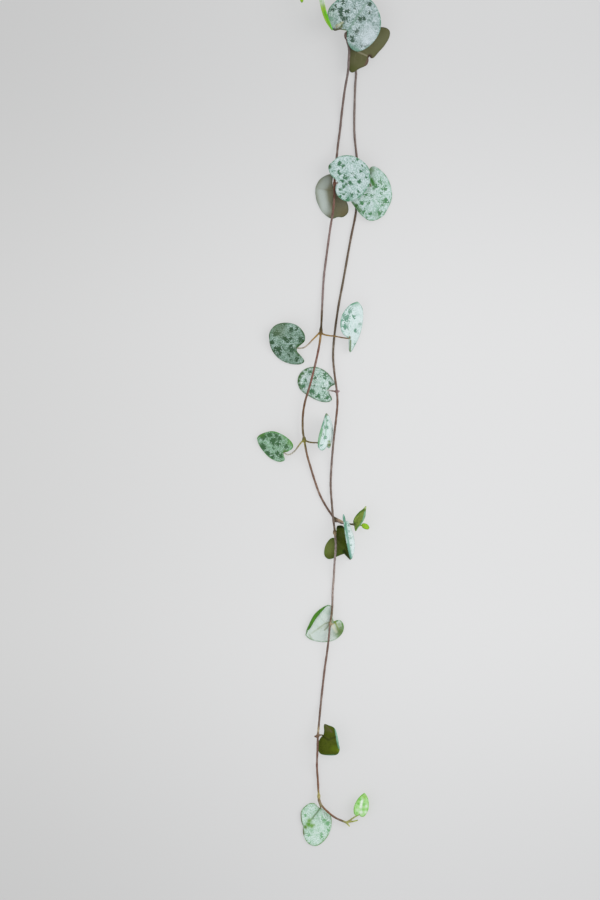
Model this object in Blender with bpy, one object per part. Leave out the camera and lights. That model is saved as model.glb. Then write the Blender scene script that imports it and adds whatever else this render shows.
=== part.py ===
"""A string of hearts: one cut length of the vine, lying on a table.

The main stem lies on its cut end and forks under the crown leaves into two thin
strands, a short one and a long one. Leaves sit on the strands at their nodes.
The view from above is the one the plan below is drawn in: +Y runs towards the
cut end, +X to the right, +Z up from the table.
"""

from math import ceil, pi, sin

import bmesh
import bpy
from mathutils import Matrix, Vector
from mathutils.geometry import interpolate_bezier

# Driving dimensions, in millimetres
STEM_RADIUS = 0.55
TIP_RADIUS = 0.4
PETIOLE_RADIUS = 0.42
BLADE_THICKNESS = 0.9
SEAT_GAP = 0.5
STEM_STEP = 4.5
PETIOLE_STEP = 1.3
STEM_SIDES_RESOLUTION = 2

# The middle of the plan, which becomes the origin on the table
PLAN_CENTRE = (-2.3, 8.4)

# Mesh density and form of a blade
MARGIN_STEPS = (7, 14)
MARGIN_STEP = 2.3
BLADE_COLUMNS = 3
CURVE_SAMPLES = 8
MIDRIB_SPREAD = 0.8
LOBE_SHAPE = 0.6
CUPPING = 1.3
CURVE_HANDLE = 1 / 6
WELD_WITHIN = 1e-7

MM = 0.001

COLOURS = {
    "stem": (0.16, 0.085, 0.05),
    "silver": (0.42, 0.55, 0.5),
    "olive": (0.09, 0.1, 0.03),
    "lime": (0.3, 0.5, 0.06),
}
ROUGHNESS = {"stem": 0.55, "silver": 0.45, "olive": 0.5, "lime": 0.4}

# Each blade's margin runs from its tip to its stalk, once on the left and once on
# the right of the midrib, seen from above by someone at the stalk. The heights are
# those of the stalk, the tip, the left margin and the right margin.
LEAVES = {
    "leaf_sprout_long": dict(
        stalk=(-4.5, 182.7), tip=(1.0, 167.4), heights=(9.5, 12.0, 13.5, 8.0), skin="lime",
        left=[(-0.4, 171.0), (-2.0, 175.6), (-2.6, 180.2), (-3.6, 183.9)],
        right=[(-1.7, 171.2), (-3.4, 175.6), (-4.4, 180.0), (-5.3, 182.8)],
    ),
    "leaf_sprout_small": dict(
        stalk=(-12.4, 186.5), tip=(-11.8, 179.2), heights=(6.6, 5.6, 8.0, 5.0), skin="lime",
        left=[(-11.0, 181.8), (-10.8, 184.6), (-11.6, 186.5)],
        right=[(-12.7, 181.4), (-13.3, 184.0), (-13.1, 186.1)],
    ),
    "leaf_crown_front": dict(
        stalk=(7.4, 167.4), tip=(16.0, 181.4), heights=(7.2, 8.6, 9.2, 7.6), skin="silver",
        left=[(12.6, 183.1), (8.4, 182.9), (4.6, 181.4), (1.3, 178.9), (-0.8, 176.0), (-1.0, 172.6),
              (0.0, 169.2), (1.9, 167.4), (4.2, 167.9)],
        right=[(18.9, 178.5), (20.9, 174.3), (21.4, 170.1), (20.6, 166.4), (18.3, 162.8), (15.2, 160.1),
               (12.0, 158.7), (9.3, 159.6), (7.6, 162.0), (7.1, 164.8)],
    ),
    "leaf_crown_back": dict(
        stalk=(10.1, 164.2), tip=(16.5, 156.9), heights=(4.0, 3.2, 0.5, 3.6), skin="olive",
        left=[(18.0, 156.1), (20.3, 158.6), (22.8, 161.4), (24.9, 164.9), (25.0, 167.8), (22.4, 169.2),
              (17.5, 168.6), (13.0, 166.7)],
        right=[(15.9, 155.3), (15.5, 153.2), (12.2, 151.6), (9.6, 150.0), (8.1, 151.0), (7.6, 156.0),
               (8.0, 161.0)],
    ),
    "leaf_mid_front": dict(
        stalk=(3.4, 103.7), tip=(16.8, 106.2), heights=(5.6, 5.4, 6.9, 6.2), skin="silver",
        left=[(16.3, 109.7), (13.5, 113.0), (8.7, 115.2), (3.9, 114.8), (1.2, 112.7), (-0.7, 110.7),
              (0.0, 107.5), (2.0, 105.4)],
        right=[(16.5, 103.2), (13.4, 98.5), (8.1, 95.8), (4.0, 97.3), (2.3, 100.4), (2.6, 102.6)],
    ),
    "leaf_mid_left": dict(
        stalk=(2.1, 100.4), tip=(-6.2, 99.5), heights=(1.9, 0.2, 0.5, 0.7), skin="olive",
        left=[(-5.5, 95.9), (-3.2, 91.4), (0.6, 88.7), (3.2, 89.4), (5.6, 89.4), (7.7, 91.6), (7.2, 95.5),
              (4.3, 99.1)],
        right=[(-5.9, 102.4), (-4.0, 105.5), (-0.5, 107.4), (1.2, 106.8), (1.0, 103.6)],
    ),
    "leaf_mid_right": dict(
        stalk=(16.6, 103.3), tip=(22.3, 89.9), heights=(2.9, 1.4, 0.45, 2.4), skin="silver",
        left=[(25.4, 95.4), (26.0, 99.8), (24.5, 105.2), (21.4, 109.1), (18.2, 110.8), (16.4, 109.3),
              (16.2, 105.9)],
        right=[(19.5, 88.2), (16.2, 88.0), (12.9, 90.4), (9.9, 94.2), (8.4, 97.2), (10.5, 100.4),
               (13.8, 101.4)],
    ),
    "leaf_third_left": dict(
        stalk=(-13.9, 34.4), tip=(-25.5, 37.8), heights=(3.0, 2.2, 0.45, 4.6), skin="silver",
        left=[(-24.2, 33.3), (-21.0, 29.6), (-16.4, 27.7), (-12.4, 27.6), (-10.7, 29.0), (-12.6, 31.1),
              (-13.9, 32.8)],
        right=[(-25.3, 41.2), (-22.8, 44.1), (-18.5, 45.1), (-13.9, 44.0), (-10.9, 40.7), (-10.5, 37.6),
               (-12.3, 35.8)],
    ),
    "leaf_third_right": dict(
        stalk=(7.8, 38.5), tip=(11.7, 53.8), heights=(5.8, 7.2, 11.2, 1.3), skin="silver",
        left=[(8.0, 52.1), (5.0, 47.9), (4.4, 43.4), (5.4, 40.3), (6.8, 39.3)],
        right=[(13.6, 50.6), (13.7, 45.6), (12.4, 39.8), (10.2, 35.2), (8.3, 32.4), (8.0, 35.6)],
    ),
    "leaf_fourth_centre": dict(
        stalk=(-0.6, 16.6), tip=(-13.7, 19.7), heights=(0.9, 0.0, 0.0, 0.0), skin="silver",
        left=[(-12.4, 16.8), (-9.2, 14.4), (-4.6, 12.1), (-0.8, 11.7), (0.9, 12.9), (-0.3, 15.4)],
        right=[(-13.2, 22.7), (-10.8, 25.5), (-6.3, 26.6), (-2.1, 24.9), (0.8, 21.3), (1.1, 19.0),
               (-0.2, 17.6)],
    ),
    "leaf_fifth_left": dict(
        stalk=(-19.6, -9.4), tip=(-30.6, -3.2), heights=(3.4, 1.2, 0.45, 4.4), skin="silver",
        left=[(-29.4, -7.0), (-26.0, -11.1), (-22.0, -13.3), (-19.0, -12.8), (-19.4, -11.0)],
        right=[(-28.6, -1.6), (-24.0, -0.5), (-19.4, -2.2), (-16.1, -5.0), (-15.5, -7.4), (-17.6, -9.0)],
    ),
    "leaf_fifth_right": dict(
        stalk=(-1.3, -6.7), tip=(-1.5, 7.1), heights=(5.6, 6.2, 11.0, 0.5), skin="silver",
        left=[(-3.1, 2.4), (-4.7, -3.0), (-5.0, -6.9), (-3.6, -8.7), (-2.1, -7.9)],
        right=[(0.3, 4.0), (1.2, -0.6), (0.5, -5.4), (-0.2, -7.6), (-0.9, -7.5)],
    ),
    "leaf_sixth_edge": dict(
        stalk=(6.4, -39.3), tip=(8.9, -54.3), heights=(7.4, 5.4, 3.7, 12.0), skin="silver",
        left=[(10.1, -50.0), (10.0, -45.4), (8.5, -40.0), (7.0, -36.4), (6.4, -36.6)],
        right=[(7.9, -51.2), (6.7, -45.4), (5.9, -39.5), (5.4, -36.2), (5.7, -35.8), (6.0, -37.4)],
    ),
    "leaf_sixth_back": dict(
        stalk=(2.1, -45.4), tip=(8.5, -54.6), heights=(1.3, 0.6, 0.6, 0.5), skin="olive",
        left=[(7.8, -50.8), (6.8, -46.4), (5.8, -42.0), (4.5, -40.4), (3.3, -41.4), (2.7, -43.9)],
        right=[(7.0, -53.7), (4.9, -51.4), (2.2, -53.0), (-0.4, -54.3), (-2.4, -52.6), (-2.1, -48.9),
               (-0.4, -46.1), (1.1, -45.2)],
    ),
    "leaf_sixth_young": dict(
        stalk=(10.2, -39.7), tip=(14.7, -33.5), heights=(3.8, 6.4, 5.4, 6.2), skin="olive",
        left=[(12.6, -34.4), (10.3, -37.2), (9.7, -38.8)],
        right=[(14.7, -36.2), (13.2, -39.1), (11.2, -42.2), (10.6, -41.8)],
    ),
    "leaf_sixth_bud": dict(
        stalk=(13.1, -40.0), tip=(16.6, -41.1), heights=(3.0, 3.4, 3.2, 3.2), skin="lime",
        left=[(15.9, -39.7), (14.5, -39.1), (13.5, -39.3)],
        right=[(16.0, -41.8), (14.6, -41.6), (13.5, -40.9)],
    ),
    "leaf_seventh": dict(
        stalk=(1.6, -80.8), tip=(-10.4, -86.1), heights=(1.5, 0.6, 0.6, 1.2), skin="olive",
        left=[(-8.0, -88.1), (-3.0, -89.1), (2.0, -88.2), (5.2, -85.3), (5.8, -82.0), (4.3, -79.8),
              (3.0, -80.0)],
        right=[(-8.8, -82.4), (-6.2, -77.3), (-2.6, -74.4), (-0.2, -73.6), (0.9, -75.4), (1.1, -78.8)],
    ),
    "leaf_eighth": dict(
        stalk=(-2.7, -128.3), tip=(3.5, -131.6), heights=(2.1, 6.2, 5.0, 2.3), skin="olive",
        left=[(3.0, -128.4), (1.9, -125.1), (-0.8, -123.8), (-2.5, -123.4), (-2.4, -126.0)],
        right=[(4.1, -134.0), (2.9, -136.3), (-1.2, -136.6), (-4.4, -135.7), (-5.2, -132.4), (-4.0, -129.4)],
    ),
    "leaf_tip_left": dict(
        stalk=(-3.9, -158.8), tip=(-11.3, -166.5), heights=(1.4, 0.45, 0.45, 1.3), skin="silver",
        left=[(-11.2, -170.0), (-9.2, -173.6), (-5.6, -174.7), (-1.7, -171.7), (0.6, -166.6), (0.2, -161.2),
              (-2.0, -159.4)],
        right=[(-12.2, -163.6), (-12.0, -159.8), (-9.0, -156.9), (-6.4, -156.8), (-5.1, -158.2)],
    ),
    "leaf_tip_young": dict(
        stalk=(12.2, -161.4), tip=(14.6, -152.3), heights=(2.9, 3.8, 4.1, 3.0), skin="lime",
        left=[(12.2, -154.2), (10.2, -157.6), (10.0, -160.9), (11.2, -162.0)],
        right=[(16.0, -154.9), (16.2, -159.0), (14.4, -162.2), (12.8, -162.3)],
    ),
}

# The main stem and the long strand are one stem, from the cut end to its tip
LONG_STEM = [
    (9.2, 191.5, 0.6), (8.9, 186.5, 1.4), (8.7, 179.0, 1.6), (8.4, 172.0, 2.4), (8.2, 165.5, 3.3),
    (9.2, 160.9, 1.7), (9.9, 156.7, 0.8), (10.9, 150.4, 0.6), (10.5, 142.8, 0.6), (10.0, 126.0, 0.6),
    (11.2, 114.7, 0.6), (11.6, 108.4, 0.6), (11.5, 102.9, 0.6), (11.1, 96.6, 0.6), (10.7, 90.3, 0.6),
    (9.0, 79.8, 0.6), (5.6, 63.0, 0.6), (3.5, 51.7, 0.6), (1.9, 40.2, 0.6), (1.3, 31.1, 0.8),
    (1.9, 23.5, 1.8), (2.9, 16.0, 2.6), (3.1, 10.6, 2.5), (2.5, 4.2, 2.5), (1.9, -0.8, 2.6),
    (1.3, -6.7, 2.4), (0.7, -13.9, 1.2), (0.3, -21.0, 0.6), (0.4, -26.0, 1.0), (0.8, -31.2, 1.9),
    (1.3, -36.8, 2.5), (2.1, -43.3, 3.2), (2.4, -47.5, 3.2), (2.3, -51.2, 3.0), (1.9, -55.9, 2.3),
    (1.5, -63.0, 0.9), (1.1, -68.0, 0.8), (1.0, -73.1, 2.0), (0.7, -77.3, 2.9), (0.0, -81.5, 3.1),
    (-0.5, -87.1, 2.9), (-1.3, -93.8, 1.5), (-2.3, -100.8, 0.6), (-3.7, -113.4, 0.6), (-4.7, -123.9, 3.2),
    (-5.1, -128.5, 4.4), (-5.3, -134.8, 4.2), (-5.5, -141.1, 1.8), (-5.1, -147.0, 0.9), (-4.7, -153.7, 2.2),
    (-3.8, -157.1, 2.9), (-1.4, -159.9, 3.0), (2.3, -162.8, 2.6), (6.8, -164.8, 1.8),
]

# The short strand, from the fork to its last node
SHORT_STEM = [
    (7.2, 163.2, 5.1), (7.8, 159.6, 5.4), (7.4, 154.9, 5.4), (7.2, 150.1, 5.0), (6.2, 142.8, 3.0),
    (5.0, 133.6, 1.0), (4.2, 126.0, 0.6), (3.4, 120.2, 1.2), (2.8, 114.5, 2.6), (2.1, 108.4, 3.6),
    (1.9, 103.3, 3.9), (1.8, 97.1, 3.7), (1.1, 90.7, 3.3), (0.0, 84.0, 2.0), (-1.7, 71.4, 0.6),
    (-2.7, 63.0, 0.6), (-3.3, 51.7, 1.4), (-3.8, 41.6, 2.6), (-4.5, 35.7, 2.8), (-6.0, 28.4, 3.0),
    (-8.3, 19.3, 3.0), (-10.5, 11.8, 2.8), (-11.4, 5.8, 2.6), (-11.4, -0.2, 2.9), (-10.8, -4.2, 3.2),
    (-9.7, -10.2, 2.2), (-8.2, -15.5, 1.0), (-6.5, -21.0, 0.6), (-4.4, -26.9, 0.6), (-2.0, -31.5, 0.6),
    (0.8, -35.8, 0.6), (2.7, -38.2, 1.2),
]

# Leaf stalks from their node to just short of the blade, by the blade they carry
LONG_PETIOLES = {
    "leaf_crown_back": [(8.3, 165.6, 3.3), (9.2, 165.2, 3.8)],
    "leaf_mid_right": [(11.5, 102.9, 0.6), (13.6, 103.4, 1.0), (15.2, 103.5, 1.6)],
    "leaf_fourth_centre": [(2.9, 16.0, 2.6), (1.2, 16.4, 1.9)],
    "leaf_sixth_back": [(2.1, -43.3, 3.2), (2.0, -44.5, 2.5)],
    "leaf_seventh": [(0.0, -81.5, 3.1), (0.9, -81.6, 2.5)],
    "leaf_eighth": [(-5.1, -128.5, 4.4), (-4.0, -128.0, 3.8)],
    "leaf_tip_left": [(-4.7, -153.7, 2.2), (-4.9, -155.3, 2.5), (-4.3, -157.2, 2.5)],
    "leaf_tip_young": [(6.8, -164.8, 1.8), (8.4, -163.8, 1.8), (10.5, -162.4, 1.7)],
    "leaf_sprout_small": [(8.9, 186.0, 1.4), (5.0, 187.4, 3.4), (0.0, 187.8, 5.2), (-5.0, 188.3, 6.6),
                          (-10.6, 189.2, 7.4), (-12.3, 188.6, 7.2)],
}
SHORT_PETIOLES = {
    "leaf_crown_front": [(7.2, 163.2, 5.1), (6.3, 164.9, 5.2), (6.4, 166.4, 5.6)],
    "leaf_mid_front": [(1.9, 103.3, 3.9), (2.6, 103.6, 4.8)],
    "leaf_mid_left": [(1.9, 103.3, 3.9), (2.0, 101.8, 3.6), (2.1, 100.9, 3.2)],
    "leaf_third_left": [(-3.8, 41.6, 2.6), (-5.6, 39.6, 2.7), (-7.7, 37.5, 2.6), (-9.1, 36.0, 2.5),
                        (-11.2, 34.5, 2.4)],
    "leaf_third_right": [(-3.8, 41.6, 2.6), (-2.8, 40.2, 3.0), (-0.3, 39.6, 3.3), (1.8, 39.4, 3.5),
                         (4.9, 38.8, 4.2)],
    "leaf_fifth_left": [(-10.8, -4.2, 3.2), (-12.0, -5.1, 3.2), (-13.1, -6.5, 3.0), (-15.0, -9.0, 2.7),
                        (-17.4, -10.4, 2.6)],
    "leaf_fifth_right": [(-10.8, -4.2, 3.2), (-9.0, -5.0, 3.5), (-7.2, -5.3, 3.8), (-5.1, -5.4, 4.2),
                         (-3.0, -6.2, 4.6)],
    "leaf_sixth_edge": [(2.7, -38.2, 1.2), (3.4, -38.5, 3.4), (4.2, -38.9, 5.9), (5.0, -39.2, 7.0)],
    "leaf_sixth_young": [(2.7, -38.2, 1.2), (4.5, -38.8, 2.1), (8.1, -39.4, 2.2), (9.4, -39.6, 2.6)],
    "leaf_sixth_bud": [(8.1, -39.4, 2.2), (9.9, -39.8, 2.4), (11.6, -40.1, 2.5)],
}
SPROUT_PETIOLE = [(-4.4, 188.3, 6.5), (-5.0, 186.0, 8.2)]

# Swellings and buds at the nodes: centre, half sizes
LONG_KNOBS = [
    ((8.2, 165.6, 3.3), (0.9, 1.1, 0.9)), ((11.5, 102.9, 0.9), (0.8, 1.1, 0.8)),
    ((2.9, 16.0, 2.6), (0.75, 1.0, 0.75)), ((3.6, 16.3, 2.8), (0.7, 0.45, 0.5)),
    ((2.0, -43.0, 3.2), (0.9, 1.3, 0.85)), ((0.0, -81.4, 3.1), (0.8, 1.1, 0.75)),
    ((-5.2, -128.5, 4.4), (0.8, 1.0, 0.75)), ((-6.1, -128.6, 4.4), (0.7, 0.5, 0.5)),
    ((-4.7, -153.7, 2.2), (0.8, 1.3, 0.75)), ((8.9, 186.2, 1.4), (0.8, 1.1, 0.75)),
    ((6.8, -164.8, 1.8), (0.75, 0.6, 0.6)), ((-4.4, 188.3, 6.5), (0.6, 0.5, 0.5)),
]
SHORT_KNOBS = [
    ((1.9, 103.3, 3.9), (0.85, 1.2, 0.8)), ((-3.8, 41.9, 2.6), (0.95, 1.6, 0.85)),
    ((-10.9, -3.9, 3.2), (0.9, 1.4, 0.85)), ((2.6, -38.1, 1.3), (0.95, 0.85, 0.8)),
    ((9.6, -39.6, 2.5), (0.65, 0.55, 0.5)),
]
TIP_BUDS = [
    [(6.8, -164.8, 1.8), (8.3, -166.5, 1.6)],
    [(6.8, -164.8, 1.8), (9.4, -164.4, 1.6), (11.8, -163.8, 1.5)],
]


def placed(point):
    """A point of the plan, in metres from the origin."""
    x, y, z = point
    return Vector((x - PLAN_CENTRE[0], y - PLAN_CENTRE[1], z)) * MM


def smooth_line(points, samples=CURVE_SAMPLES):
    """Many points on one smooth curve through a few."""
    points = [Vector(p) for p in points]
    ends = [2 * points[0] - points[1], *points, 2 * points[-1] - points[-2]]
    line = []
    for before, start, end, after in zip(ends, ends[1:], ends[2:], ends[3:]):
        handle_out = start + (end - before) * CURVE_HANDLE
        handle_in = end - (after - start) * CURVE_HANDLE
        line += interpolate_bezier(start, handle_out, handle_in, end, samples + 1)[:-1]
    return [*line, points[-1]]


def evenly_spaced(line, steps):
    """The line walked in equal steps, with both its ends."""
    lengths = [0.0]
    for a, b in zip(line, line[1:]):
        lengths.append(lengths[-1] + (b - a).length)
    found, at = [], 0
    for step in range(steps + 1):
        wanted = lengths[-1] * step / steps
        while at < len(line) - 2 and lengths[at + 1] < wanted:
            at += 1
        share = (wanted - lengths[at]) / (lengths[at + 1] - lengths[at])
        found.append(line[at].lerp(line[at + 1], share))
    return found


def line_length(line):
    return sum((b - a).length for a, b in zip(line, line[1:]))


def material_of(skin):
    """The plain finish of one kind of surface."""
    name = f"{skin}_skin"
    material = bpy.data.materials.get(name)
    if material is None:
        material = bpy.data.materials.new(name)
        material.use_nodes = True
        shader = material.node_tree.nodes["Principled BSDF"]
        shader.inputs["Base Color"].default_value = (*COLOURS[skin], 1)
        shader.inputs["Roughness"].default_value = ROUGHNESS[skin]
        shader.inputs["Metallic"].default_value = 0.0
    return material


def new_object(name, mesh, skin):
    """A smooth-shaded object with its finish, in the scene."""
    mesh.materials.append(material_of(skin))
    mesh.shade_smooth()
    made = bpy.data.objects.new(name, mesh)
    bpy.context.scene.collection.objects.link(made)
    return made


def blade_rows(leaf):
    """Rows of points from margin to margin across the midrib, from the tip to the stalk."""
    stalk_z, tip_z, left_z, right_z = leaf["heights"]
    stalk = Vector((*leaf["stalk"], stalk_z))
    tip = Vector((*leaf["tip"], tip_z))
    lines = {
        side: smooth_line([(*p, 0) for p in (leaf["tip"], *leaf[side], leaf["stalk"])])
        for side in ("left", "right")
    }
    fewest, most = MARGIN_STEPS
    longest = max(line_length(line) for line in lines.values())
    steps = max(fewest, min(most, round(longest / MARGIN_STEP)))
    margins = [
        (evenly_spaced(lines[side], steps), side_z - (stalk_z + tip_z) / 2)
        for side, side_z in (("left", left_z), ("right", right_z))
    ]
    lowest = BLADE_THICKNESS / 2
    tip.z = max(tip.z, lowest)
    rows = []
    for step in range(1, steps):
        along = (1 - step / steps) ** MIDRIB_SPREAD
        rib = stalk.lerp(Vector((*leaf["tip"], tip_z)), along)
        row = []
        for line, rise in margins:
            bulge = sin(pi * step / steps) ** LOBE_SHAPE
            half = []
            for column in range(1, BLADE_COLUMNS + 1):
                out = column / BLADE_COLUMNS
                spot = Vector((rib.x, rib.y, 0)).lerp(line[step], out)
                spot.z = max(rib.z + rise * bulge * out**CUPPING, lowest)
                half.append(spot)
            row.append(half)
        left, right = row
        rib.z = max(rib.z, lowest)
        rows.append([*reversed(left), rib, *right])
    return tip, rows, stalk


def blade(name, leaf):
    """One thin heart-shaped blade, given its thickness by a Solidify."""
    tip, rows, stalk = blade_rows(leaf)
    bm = bmesh.new()
    first = bm.verts.new(placed(tip))
    grid = [[bm.verts.new(placed(p)) for p in row] for row in rows]
    last = bm.verts.new(placed(stalk))
    for a, b in zip(grid[0], grid[0][1:]):
        bm.faces.new((first, a, b))
    for upper, lower in zip(grid, grid[1:]):
        for column in range(len(upper) - 1):
            bm.faces.new((upper[column], lower[column], lower[column + 1], upper[column + 1]))
    for a, b in zip(grid[-1], grid[-1][1:]):
        bm.faces.new((last, b, a))
    bmesh.ops.triangulate(bm, faces=bm.faces)
    mesh = bpy.data.meshes.new(name)
    bm.to_mesh(mesh)
    bm.free()
    made = new_object(name, mesh, leaf["skin"])
    wall = made.modifiers.new("thickness", "SOLIDIFY")
    wall.thickness = BLADE_THICKNESS * MM
    wall.offset = 0
    return made


def tube(name, points, radius, end_radius, step):
    """A round stem along a smooth route, as one closed mesh."""
    line = smooth_line(points)
    line = evenly_spaced(line, max(2, ceil(line_length(line) / step)))
    curve = bpy.data.curves.new(name, "CURVE")
    curve.dimensions = "3D"
    curve.bevel_depth = MM
    curve.bevel_resolution = STEM_SIDES_RESOLUTION
    curve.use_fill_caps = True
    spline = curve.splines.new("POLY")
    spline.points.add(len(line) - 1)
    for index, (point, spot) in enumerate(zip(spline.points, line)):
        share = index / (len(line) - 1)
        spot.z = max(spot.z, radius)
        point.co = (*placed(spot), 1)
        point.radius = radius + (end_radius - radius) * share
    guide = bpy.data.objects.new(name, curve)
    bpy.context.scene.collection.objects.link(guide)
    mesh = bpy.data.meshes.new_from_object(guide.evaluated_get(bpy.context.evaluated_depsgraph_get()))
    bpy.data.objects.remove(guide)
    bm = bmesh.new()
    bm.from_mesh(mesh)
    bmesh.ops.remove_doubles(bm, verts=bm.verts, dist=WELD_WITHIN)
    bmesh.ops.recalc_face_normals(bm, faces=bm.faces)
    bm.to_mesh(mesh)
    bm.free()
    mesh.materials.clear()
    return mesh


def knob(name, centre, half_sizes):
    """A small swelling or bud at a node."""
    bm = bmesh.new()
    place = Matrix.Translation(placed(centre)) @ Matrix.Diagonal((*half_sizes, 1))
    bmesh.ops.create_icosphere(bm, subdivisions=2, radius=MM, matrix=place)
    mesh = bpy.data.meshes.new(name)
    bm.to_mesh(mesh)
    bm.free()
    return mesh


def seat_on_blade(route, leaf):
    """A leaf stalk's route, stopped just clear of its blade."""
    stalk = Vector((*leaf["stalk"], leaf["heights"][0]))
    back = (Vector(route[-1]) - stalk).normalized()
    return [*route, tuple(stalk + back * (BLADE_THICKNESS / 2 + SEAT_GAP))]


def petioles(routes):
    """The leaf stalks that one stem carries."""
    return [
        tube(f"stalk_of_{name}", seat_on_blade(route, LEAVES[name]), PETIOLE_RADIUS, TIP_RADIUS, PETIOLE_STEP)
        for name, route in routes.items()
    ]


def united(name, trunk, branches):
    """A stem with all that grows from it, joined into one body."""
    stem = new_object(name, trunk, "stem")
    group = bpy.data.collections.new(f"{name}_growth")
    bpy.context.scene.collection.children.link(group)
    for mesh in branches:
        group.objects.link(bpy.data.objects.new(mesh.name, mesh))
    union = stem.modifiers.new("growth", "BOOLEAN")
    union.operation = "UNION"
    union.operand_type = "COLLECTION"
    union.collection = group
    union.solver = "EXACT"
    joined = bpy.data.meshes.new_from_object(stem.evaluated_get(bpy.context.evaluated_depsgraph_get()))
    stem.modifiers.clear()
    stem.data = joined
    stem.data.name = name
    for branch in list(group.objects):
        bpy.data.objects.remove(branch)
    bpy.data.collections.remove(group)
    return stem


def long_stem():
    """The main stem and long strand, with their leaf stalks, swellings and tip buds."""
    trunk = tube("stem_long", LONG_STEM, STEM_RADIUS, TIP_RADIUS, STEM_STEP)
    sprout = seat_on_blade(SPROUT_PETIOLE, LEAVES["leaf_sprout_long"])
    growth = petioles(LONG_PETIOLES)
    growth.append(tube("stalk_of_sprout", sprout, PETIOLE_RADIUS, TIP_RADIUS, PETIOLE_STEP))
    growth += [knob(f"swelling_{i}", *sizes) for i, sizes in enumerate(LONG_KNOBS)]
    growth += [tube(f"bud_{i}", route, TIP_RADIUS, TIP_RADIUS, PETIOLE_STEP) for i, route in enumerate(TIP_BUDS)]
    return united("stem_long", trunk, growth)


def short_stem():
    """The short strand, with its leaf stalks and swellings."""
    trunk = tube("stem_short", SHORT_STEM, STEM_RADIUS, STEM_RADIUS, STEM_STEP)
    growth = petioles(SHORT_PETIOLES)
    growth += [knob(f"swelling_{i}", *sizes) for i, sizes in enumerate(SHORT_KNOBS)]
    return united("stem_short", trunk, growth)


def clear_scene():
    for existing in list(bpy.data.objects):
        bpy.data.objects.remove(existing)


clear_scene()
long_stem()
short_stem()
for leaf_name, leaf_data in LEAVES.items():
    blade(leaf_name, leaf_data)
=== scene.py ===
"""A string of hearts lying on a pale table: the looks of one cut length of the vine."""

from math import pi, sin

import bpy
import numpy as np
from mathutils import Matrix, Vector, noise
from mathutils.geometry import interpolate_bezier


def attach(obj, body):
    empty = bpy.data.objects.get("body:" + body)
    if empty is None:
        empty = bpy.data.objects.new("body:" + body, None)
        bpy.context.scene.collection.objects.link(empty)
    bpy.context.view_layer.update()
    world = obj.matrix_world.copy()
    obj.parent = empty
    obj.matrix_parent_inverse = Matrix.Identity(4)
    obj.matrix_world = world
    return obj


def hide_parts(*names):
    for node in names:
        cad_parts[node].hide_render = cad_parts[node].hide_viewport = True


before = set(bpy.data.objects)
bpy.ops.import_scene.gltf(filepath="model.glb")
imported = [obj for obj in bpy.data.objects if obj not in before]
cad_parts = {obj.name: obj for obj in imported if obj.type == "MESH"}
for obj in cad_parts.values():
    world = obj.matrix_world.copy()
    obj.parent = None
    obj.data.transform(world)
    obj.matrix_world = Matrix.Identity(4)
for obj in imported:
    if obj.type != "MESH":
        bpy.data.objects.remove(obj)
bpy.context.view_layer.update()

# The long strand: the main stem from its cut end down to the last growing tip, with
# the leaf stalks, swollen nodes and tiny bracts that grow out of it. A wiry living
# stem about 1 mm thick, purple-brown and slightly waxy, greener where it is young.

# A millimetre in metres, and the place on the plan, in millimetres, that is the origin
MM = 0.001
PLAN_MIDDLE = Vector((-2.3, 8.4, 0))

LONG_ROUTE = [
    (9.2, 191.5, 0.6), (8.9, 186.5, 1.4), (8.7, 179, 1.6), (8.4, 172, 2.4), (8.2, 165.5, 3.3),
    (9.2, 160.9, 1.7), (9.9, 156.7, 0.8), (10.9, 150.4, 0.6), (10.5, 142.8, 0.6), (10.2, 126, 0.6),
    (11.2, 114.7, 0.6), (11.6, 108.4, 0.6), (11.5, 102.9, 0.6), (11.1, 96.6, 0.6), (10.7, 90.3, 0.6),
    (8.6, 79.8, 0.6), (5.6, 63, 0.6), (3.5, 51.7, 0.6), (1.9, 40.2, 0.6), (1.3, 31.1, 0.8),
    (1.9, 23.5, 1.8), (2.9, 16, 2.6), (3.1, 10.6, 2.5), (2.5, 4.2, 2.5), (1.9, -0.8, 2.6),
    (1.3, -6.7, 2.4), (0.7, -13.9, 1.2), (0.3, -21, 0.6), (0.4, -26, 1), (0.8, -31.2, 1.9),
    (1.3, -36.8, 2.5), (2.1, -43.3, 3.2), (2.4, -47.5, 3.2), (2.3, -51.2, 3), (1.9, -55.9, 2.3),
    (1.5, -63, 0.9), (1.1, -68, 0.8), (1, -73.1, 2), (0.7, -77.3, 2.9), (0, -81.5, 3.1),
    (-0.5, -87.1, 2.9), (-1.3, -93.8, 1.5), (-2.3, -100.8, 0.6), (-3.7, -113.4, 0.6), (-4.7, -123.9, 3.2),
    (-5.1, -128.5, 4.4), (-5.3, -134.8, 4.2), (-5.5, -141.1, 1.8), (-5.1, -147, 0.9), (-4.7, -153.7, 2.2),
    (-3.8, -157.1, 2.9), (-1.4, -159.9, 3), (2.3, -162.8, 2.6), (6.8, -164.8, 1.8),
]
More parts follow.
